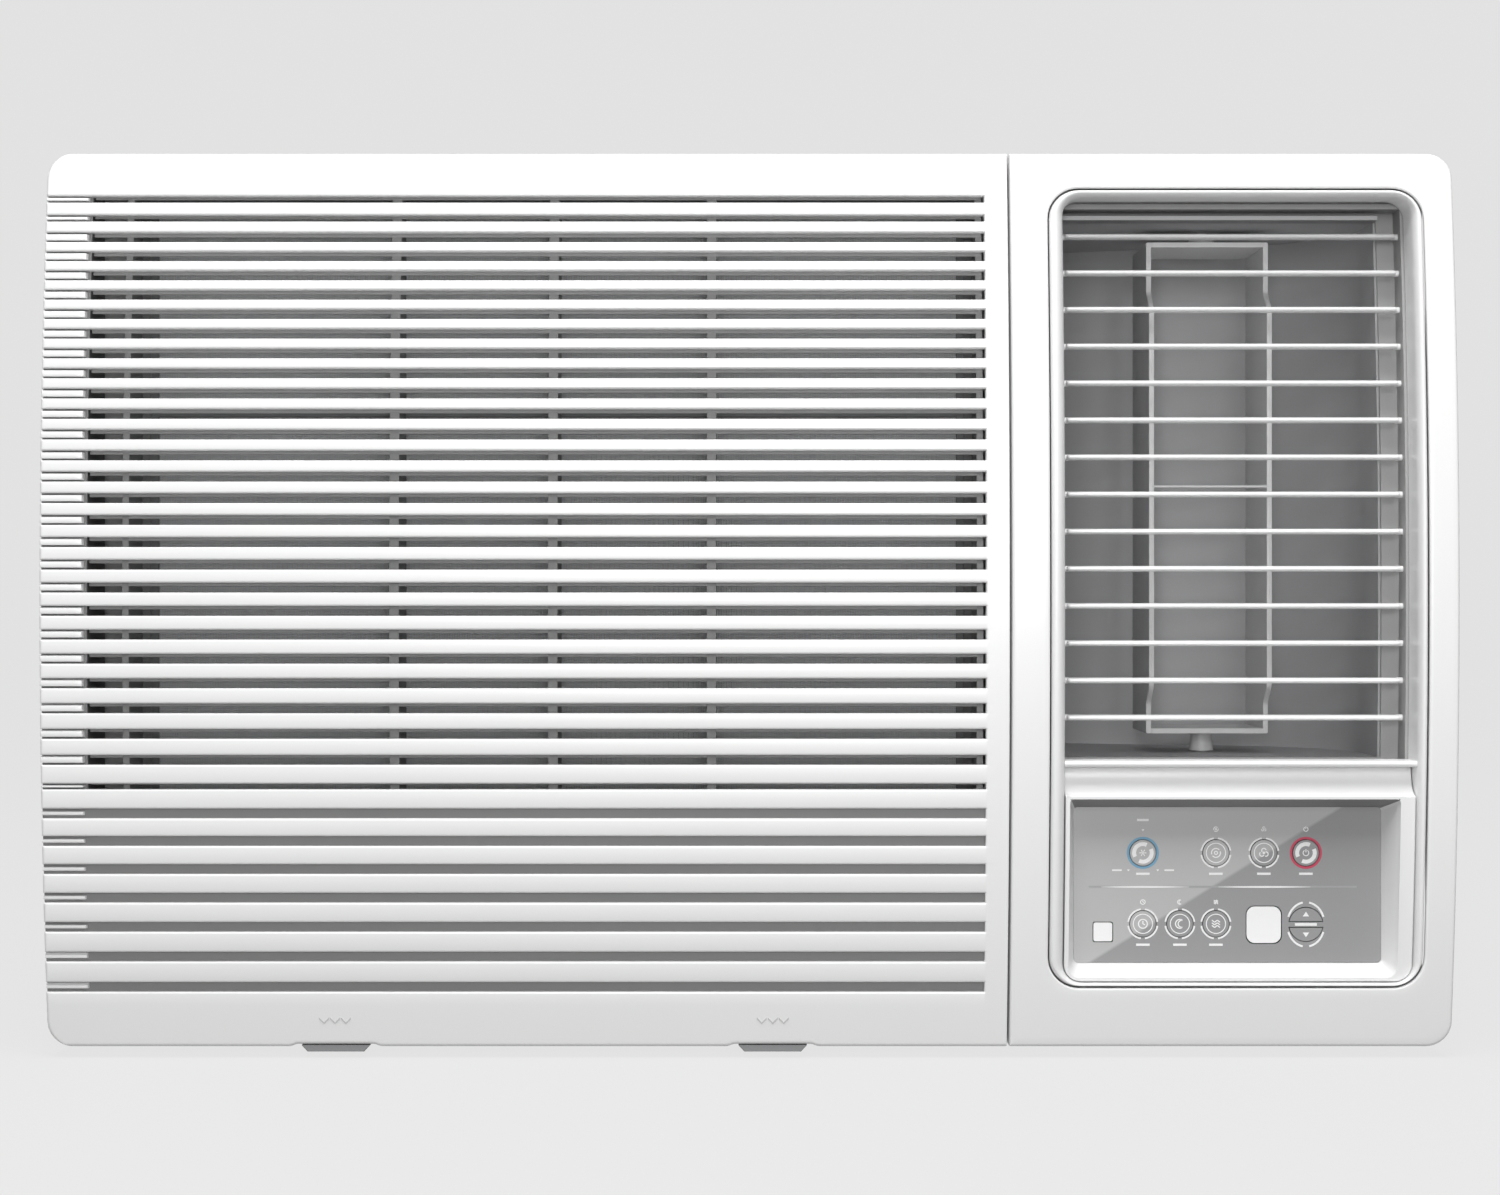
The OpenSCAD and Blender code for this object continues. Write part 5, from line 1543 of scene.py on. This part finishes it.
@dataclass
class ControlPanel:
    """The printed sheet, its keys and its two lenses."""

    face_y: float = -325 * MM
    lift: float = 0.05 * MM
    label_drop: float = 10.0 * MM
    upper_signs_z: float = 108 * MM
    lower_signs_z: float = 73.2 * MM
    line_z: float = 80.5 * MM
    rocker: tuple[float, float] = (265.8 * MM, 62.5 * MM)
    keys: tuple[tuple[str, float, float, Glyph, Kit], ...] = (
        ("cool", 187.9, 96.7, Glyph.FLAKE, Kit.BLUE_INK), ("mode", 222.8, 96.7, Glyph.RINGS, Kit.WHITE_INK_AND_HIGHLIGHT),
        ("speed", 245.7, 96.7, Glyph.FAN, Kit.WHITE_INK_AND_HIGHLIGHT), ("power", 265.8, 96.7, Glyph.POWER, Kit.RED_INK),
        ("timer", 187.9, 62.8, Glyph.CLOCK, Kit.WHITE_INK_AND_HIGHLIGHT), ("sleep", 205.6, 62.8, Glyph.MOON, Kit.WHITE_INK_AND_HIGHLIGHT),
        ("swing", 222.8, 62.8, Glyph.WAVES, Kit.WHITE_INK_AND_HIGHLIGHT))

    def stroke(self, shape: Shape, points: Array, width: Any, y: float, closed: bool = False) -> None:
        """A printed line: points plus and minus half a width along the path's normal, slightly raised."""
        p = np.asarray(points, float)
        if closed:
            p = np.concatenate([p, p[:1]])
            step = np.roll(p[:-1], -1, 0) - np.roll(p[:-1], 1, 0)
            step = np.concatenate([step, step[:1]])
        else:
            step = np.gradient(p, axis=0)
        normal = np.stack([-step[:, 1], step[:, 0]], -1)
        normal /= np.maximum(np.linalg.norm(normal, axis=1, keepdims=True), 1e-12)
        a, b = p + normal * width / 2, p - normal * width / 2
        ring = [(a, y), (b, y), (b, y - self.lift), (a, y - self.lift)]
        rows = np.stack([np.stack([q[:, 0], np.full(len(q), v), q[:, 1]], -1) for q, v in ring], 1)
        shape.grid(rows, wrap_cols=True)
        if not closed:
            shape.add(rows[0], [[0, 1, 2, 3]])
            shape.add(rows[-1], [[3, 2, 1, 0]])

    def arc(self, x: float, z: float, r: float, a0: float, a1: float, steps: int = 24) -> Array:
        """Points on an arc, with angles in degrees."""
        a = np.radians(np.linspace(a0, a1, steps))
        return np.stack([x + r * np.cos(a), z + r * np.sin(a)], -1)

    def sign(self, shape: Shape, glyph: Glyph, x: float, z: float, size: float, y: float,
             width: float) -> None:
        """Draw one sign, of about twice "size" across, round a point."""
        line = lambda *pts: self.stroke(shape, np.array(pts) * size + (x, z), width, y)
        whole = lambda r, cx=0.0, cz=0.0: self.stroke(
            shape, self.arc(x + cx * size, z + cz * size, r * size, 0, 345, 24), width, y, closed=True)
        bow = lambda r, a0, a1, cx=0.0, cz=0.0: self.stroke(
            shape, self.arc(x + cx * size, z + cz * size, r * size, a0, a1), width, y)
        if glyph is Glyph.FLAKE:
            for a in (0, 60, 120):
                c, s = math.cos(math.radians(a)), math.sin(math.radians(a))
                line((-c, -s), (0, 0), (c, s))
        elif glyph is Glyph.RINGS:
            bow(0.85, 40, 200)
            bow(0.85, 220, 380)
            whole(0.3)
        elif glyph is Glyph.FAN:
            for a in (90, 210, 330):
                c, s = math.cos(math.radians(a)), math.sin(math.radians(a))
                bow(0.42, a - 80, a + 130, 0.45 * c, 0.45 * s)
            whole(0.14)
        elif glyph is Glyph.POWER:
            bow(0.8, 120, 420)
            line((0, 0.15), (0, 0.6), (0, 1.05))
        elif glyph is Glyph.CLOCK:
            whole(0.85)
            line((0, 0.55), (0, 0.0), (0.4, -0.2))
        elif glyph is Glyph.MOON:
            bow(0.85, 60, 300)
            bow(0.66, 75, 285, 0.32, 0.0)
        elif glyph is Glyph.WAVES:
            for k in (-0.5, 0.0, 0.5):
                t = np.linspace(-0.8, 0.8, 18)
                wave = np.stack([x + t * size, z + (k + 0.16 * np.sin(t * 6)) * size], -1)
                self.stroke(shape, wave, width, y)
        else:
            up = 1 if glyph is Glyph.UP else -1
            loop = np.array([(-0.8, -0.45), (0.8, -0.45), (0.0, 0.75)]) * (1, up) * size + (x, z)
            shape.prism(loop[::up], y - self.lift, y)

    def key_ring(self, shape: Shape, x: float, z: float, r: float, y: float, width: float) -> None:
        """The ring round a key, in four arcs with small gaps."""
        for start in (8, 98, 188, 278):
            self.stroke(shape, self.arc(x, z, r, start, start + 74, 14), width, y)

    def dash(self, shape: Shape, x: float, z: float, length: float, height: float = 1.1 * MM) -> None:
        """A plain dash that stands where a label would."""
        y = self.face_y
        shape.block((x - length / 2, y - self.lift, z - height / 2),
                    (x + length / 2, y + 0.01 * MM, z + height / 2), 0.02 * MM)

    def surround(self) -> None:
        """The white frame round the printed sheet: a band behind the crown, hollowed to a cove under the
        rail, then walls that slope in to the sheet. Its cove follows a quarter ellipse in y and z."""
        x0, x1, z0, z1 = 149.4 * MM, 314.6 * MM, 36.2 * MM, 138.1 * MM
        fine = lambda left, right, low, high, low_r, high_r: rounded_loop(
            left, right, low, high, (low_r * MM, high_r * MM, high_r * MM, low_r * MM), side=120)
        outer = fine(x0, x1, z0, z1, 8, 1.2)
        edge = fine(x0 + 0.5 * MM, x1 - 0.5 * MM, z0 + 0.5 * MM, z1 - 0.5 * MM, 7.5, 1)
        brink = fine(x0 + 2 * MM, x1 - 7 * MM, 38 * MM, 123.4 * MM, 5, 2)
        foot = fine(154.9 * MM, 301.6 * MM, 44.4 * MM, 118.5 * MM, 2.2, 2.2)
        lip = fine(156 * MM, 300.5 * MM, 45.5 * MM, 117.4 * MM, 1.5, 1.5)

        def top(loop: Array) -> Array:
            """y of the front: 3 mm behind the crown, and up to 11.5 mm further back in the cove."""
            across = np.clip((136.5 * MM - loop[:, 1]) / (11.5 * MM), 0.0, 1.0)
            return FRONT_Y + sag(loop[:, 1]) + 3 * MM + 11.5 * MM * np.sqrt(1 - across ** 2)

        back = self.face_y + 7 * MM
        rows = [(outer, np.full(len(outer), back)), (outer, top(outer) + 0.5 * MM), (edge, top(edge))]
        for t in np.linspace(0, 1, 26)[1:]:
            loop = edge + (brink - edge) * t
            rows.append((loop, top(loop)))
        slope = np.array([0.04, 0.12, 0.5, 1.0])
        for t in slope:
            loop = brink + (foot - brink) * (t - 0.02 * (t < 0.1))
            rows.append((loop, top(brink) + (self.face_y + 0.7 * MM - top(brink)) * t))
        rows += [(lip, np.full(len(lip), self.face_y + depth * MM)) for depth in (0.8, 4)]
        shape = Shape()
        rings = np.stack([np.stack([q[:, 0], y, q[:, 1]], -1) for q, y in rows])
        shape.grid(rings, wrap_rows=True, wrap_cols=True)

        def painted_brink_shadow(centre: Array) -> Array:
            """Faces of the step above the sheet, which get a painted shadow, cut off at both ends along its
            mitres.
            """
            share = (123.4 * MM - centre[:, 2]) / (4.9 * MM)
            left, right = x0 + (2 + 3.5 * share) * MM, x1 - (7 + 6 * share) * MM
            return (share > 0) & (share < 1) & (centre[:, 0] > left) & (centre[:, 0] < right)

        # The step above the sheet faces down into shadow; that shadow is painted on in the dark grey.
        piece = shape.object("control_surround", finish(Kit.WHITE), 35.0,
                             second=(finish(Kit.PAINTED_RECESS_GREY), painted_brink_shadow))
        place_piece(piece, "chassis", ["control_housing"])

    def printed(self) -> None:
        """Everything printed on the sheet itself: rings, dashes, small signs and the dividing line. The
        dividing line is drawn as a groove: a grey stroke of painted shade with two tapered strokes of painted
        highlight.
        """
        prints = {kind: Shape() for kind in (Kit.WHITE_INK_AND_HIGHLIGHT, Kit.BLUE_INK, Kit.RED_INK, Kit.PAINTED_GROOVE_GREY)}
        white = prints[Kit.WHITE_INK_AND_HIGHLIGHT]
        y = self.face_y
        for _, x, z, _, ink in self.keys:
            if ink is Kit.WHITE_INK_AND_HIGHLIGHT:
                self.key_ring(white, x * MM, z * MM, 7.0 * MM, y, 0.85 * MM)
            else:
                ring = self.arc(x * MM, z * MM, 7.1 * MM, 0, 352, 45)
                self.stroke(prints[ink], ring, 1.15 * MM, y, closed=True)
            self.dash(white, x * MM, z * MM - self.label_drop, 6.5 * MM)
        for x, glyph in ((222.8, Glyph.RINGS), (245.7, Glyph.FAN), (265.8, Glyph.POWER)):
            self.sign(white, glyph, x * MM, self.upper_signs_z, 1.3 * MM, y, 0.4 * MM)
        for x, glyph in ((187.9, Glyph.CLOCK), (205.6, Glyph.MOON), (222.8, Glyph.WAVES)):
            self.sign(white, glyph, x * MM, self.lower_signs_z, 1.3 * MM, y, 0.4 * MM)
        self.dash(white, 187.9 * MM, 112.4 * MM, 5.6 * MM)
        for x, z in ((187.9, 107.6), (181.0, 88.4), (195.0, 88.4)):
            self.sign(white, Glyph.DOWN, x * MM, z * MM, 0.8 * MM, y, 0.3 * MM)
        for x in (175.5, 200.5):
            self.dash(white, x * MM, 88.4 * MM, 4.6 * MM, 0.8 * MM)
        # The dividing groove: its grey is painted shade.
        divider = np.array([(162 * MM, self.line_z), (290 * MM, self.line_z)])
        self.stroke(prints[Kit.PAINTED_GROOVE_GREY], divider, 0.9 * MM, y)
        # Painted highlights: white strokes, widest in the middle, along the groove.
        for a, b in ((168.0, 210.0), (224.0, 268.0)):
            t = np.linspace(0, 1, 25)
            line = np.stack([(a + (b - a) * t) * MM, np.full(25, self.line_z - 0.1 * MM)], -1)
            self.stroke(white, line, (0.15 + 0.75 * np.sin(math.pi * t))[:, None] * MM, y - self.lift)
        for a0, a1 in ((20, 80), (100, 160), (200, 260), (280, 340)):
            a = np.radians(np.linspace(a0, a1, 14))
            loop = np.stack([8.9 * np.cos(a), 10.6 * np.sin(a)], -1) * MM + self.rocker
            self.stroke(white, loop, 0.95 * MM, y)
        self.dash(white, *self.rocker, 10.5 * MM, 1.3 * MM)
        for kind, shape in prints.items():
            marks = shape.object(f"sheet_print_{kind.value.name}", finish(kind), 30.0)
            place_piece(marks, "chassis")

    def key_signs(self) -> None:
        """The sign on each key, which moves with it."""
        y = self.face_y - 0.2 * MM
        for name, x, z, glyph, ink in self.keys:
            shape = Shape()
            x, z = x * MM, z * MM
            if ink is Kit.WHITE_INK_AND_HIGHLIGHT:
                self.stroke(shape, self.arc(x, z, 4.6 * MM, 0, 349, 32), 0.45 * MM, y, closed=True)
                self.sign(shape, glyph, x, z, 2.5 * MM, y, 0.55 * MM)
            else:
                for a0, a1 in ((64, 206), (244, 386)):
                    self.stroke(shape, self.arc(x, z, 4.2 * MM, a0, a1), 1.9 * MM, y)
                self.sign(shape, glyph, x, z, 1.7 * MM, y, 0.4 * MM)
            marks = shape.object(f"{name}_key_sign", finish(Kit.WHITE_INK_AND_HIGHLIGHT), 30.0)
            place_piece(marks, f"{name}_key")
        for name, z, glyph in (("up", 67.2, Glyph.UP), ("down", 57.8, Glyph.DOWN)):
            shape = Shape()
            self.sign(shape, glyph, self.rocker[0], z * MM, 1.9 * MM, y, 0.4 * MM)
            place_piece(shape.object(f"{name}_key_sign", finish(Kit.WHITE_INK_AND_HIGHLIGHT)), f"{name}_key")

    def build(self) -> None:
        """Dress the CAD sheet, keys and lenses, and print the signs."""
        for node in ("control_overlay", *(f"key_{k[0]}" for k in self.keys), "key_up", "key_down"):
            dress(node, Kit.OVERLAY)
        for node in ("display_window", "receiver_window"):
            dress(node, Kit.LENS, 0.35 * MM)
        self.surround()
        self.printed()
        self.key_signs()


# ---------------------------------------------------------------- everything behind the front

@dataclass
class FilterSheet:
    """The woven net, stretched over the filter frame."""

    thickness: float = 0.4 * MM
    bulge: float = 0.2 * MM
    panes: tuple[int, int] = (4, 4)

    def build(self) -> None:
        """Make the net: y is its middle less the bulge times (sin of the panes across times sin of the panes
        up) squared, so that it swells a little in each pane."""
        lo, hi = (np.array(corner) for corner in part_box("filter_mesh"))
        across, up = np.linspace(0.0, 1.0, 121), np.linspace(0.0, 1.0, 91)
        u, v = np.meshgrid(across, up)
        swell = (np.sin(math.pi * self.panes[0] * u) * np.sin(math.pi * self.panes[1] * v)) ** 2
        middle = (lo[1] + hi[1]) / 2 - self.bulge * swell
        x, z = lo[0] + (hi[0] - lo[0]) * u, lo[2] + (hi[2] - lo[2]) * v
        front = np.stack([x, middle - self.thickness / 2, z], -1)
        back = np.stack([x, middle + self.thickness / 2, z], -1)
        shape = Shape()
        shape.grid(front)
        shape.grid(back)
        shape.grid(np.stack([grid_rim(front), grid_rim(back)]), wrap_cols=True)
        net = shape.object("filter_net_sheet", finish(Kit.NET), 40.0)
        place_piece(net, "filter", ["filter_mesh"])


@dataclass
class CarriedOver:
    """CAD nodes whose shape is right: each gets its material and softened edges."""

    plain: tuple[tuple[str, Kit, float], ...] = (
        ("cabinet_screws", Kit.STEEL, 0.3 * MM),
        ("base_pan", Kit.ZINC, 0.4 * MM), ("bulkhead", Kit.ZINC, 0.3 * MM),
        ("blower_housing", Kit.SCROLL, 0.3 * MM),
        ("fan_shroud", Kit.ZINC, 0.3 * MM),
        ("motor_bracket", Kit.ZINC, 0.4 * MM), ("motor_shaft", Kit.STEEL, 0.4 * MM),
        ("compressor_mounts", Kit.RUBBER_AND_BORE_SHADE, 1.0 * MM),
        ("control_box", Kit.ZINC, 0.3 * MM),
        ("control_electronics", Kit.BOARD, 0.2 * MM), ("swing_motor", Kit.STEEL, 0.5 * MM),
        ("front_frame", Kit.WHITE, 0.5 * MM), ("hinge_pins", Kit.STEEL, 0.2 * MM),
        ("filter_frame", Kit.FILTER, 0.4 * MM),
        ("louvre_frame", Kit.FLANGE_GREY, 0.3 * MM), ("louvre_link", Kit.FRAME_GREY, 0.0),
        ("cord_grommet", Kit.RUBBER_AND_BORE_SHADE, 0.5 * MM))

    def build(self) -> None:
        """Dress each node."""
        for node, kind, bevel in self.plain:
            dress(node, kind, bevel)


# ---------------------------------------------------------------- studio

@dataclass
class Studio:
    """A pale floor that meets an even pale ground, soft light from above and a camera on the front's axis."""

    ground: float = 0.9
    ground_strength: float = 0.27
    glow: float = 0.745
    reach: float = 25.0
    floor_z: float = -0.5 * MM
    wall_y: float = 9.0
    camera_at: tuple[float, float, float] = (0.0002, -1.850, 0.2187)
    lens: float = 76.6

    def lamp(self, name: str, place: Sequence[float], aim: Sequence[float], size: float,
             power: float) -> None:
        """A soft square lamp that faces a point."""
        data = bpy.data.lights.new(name, "AREA")
        data.energy, data.size = power, size
        lamp = bpy.data.objects.new(name, data)
        lamp.location = place
        lamp.rotation_euler = (Vector(aim) - Vector(place)).to_track_quat("-Z", "Y").to_euler()
        bpy.context.scene.collection.objects.link(lamp)

    def build(self) -> None:
        """Make the floor, ground, lamps and camera."""
        scene = bpy.context.scene
        scene.view_settings.view_transform = "Standard"
        floor = Shape()
        sweep = rounded_path([(0, -self.reach, self.floor_z), (0, self.wall_y, self.floor_z),
                              (0, self.wall_y, self.wall_y)], 1.2, 24)
        x = np.linspace(-self.reach, self.reach, 9)
        rows = np.stack(np.broadcast_arrays(x[None, :], sweep[:, 1:2], sweep[:, 2:3]), -1)
        floor.grid(rows)
        g = Graph("floor_paint")
        tone = g.mix(g.noise(2.0), (0.06, 0.06, 0.06), (0.065, 0.065, 0.065))
        g.set("Base Color", tone)
        g.set("Roughness", 0.95)
        g.set("Specular IOR Level", 0.0)
        g.set("Emission Color", (1.0, 1.0, 1.0))
        g.set("Emission Strength", self.glow)
        ground = floor.object("floor", g.material, outward=False)
        ground.visible_diffuse = False
        world = bpy.data.worlds.new("ground")
        scene.world = world
        world.use_nodes = True
        back = next(n for n in world.node_tree.nodes if n.type == "BACKGROUND")
        back.inputs["Color"].default_value = (self.ground, self.ground, self.ground, 1)
        back.inputs["Strength"].default_value = self.ground_strength
        self.lamp("top_light", (0.0, -1.2, 1.8), (0.0, -0.3, 0.25), size=1.3, power=36.0)
        self.lamp("front_light", (0.1, -2.3, 0.5), (0.0, -0.35, 0.22), size=0.7, power=14.5)
        camera = bpy.data.cameras.new("camera")
        camera.lens, camera.sensor_width = self.lens, 36.0
        eye = bpy.data.objects.new("camera", camera)
        eye.location = self.camera_at
        eye.rotation_euler = (math.pi / 2, 0.0, 0.0)
        scene.collection.objects.link(eye)
        scene.camera = eye


def main() -> None:
    """Build every assembly in order."""
    logging.basicConfig(level=logging.INFO, format="%(message)s")
    Studio().build()
    CarriedOver().build()
    evaporator = Coil("evaporator", (-0.282, 0.092), (-0.272, -0.232), (0.030, 0.400))
    condenser = Coil("condenser", (-0.292, 0.292), (0.290, 0.335), (0.012, 0.410))
    for assembly in (IntakeGrille(), OutletPanel(), OutletBezel(), LouvreBlades(), SwingVane(),
                     ControlPanel(),
                     FilterSheet(), AirChute(), Cabinet(), evaporator, condenser, FanRotor(), Machinery()):
        assembly.build()


if __name__ == "__main__":
    main()
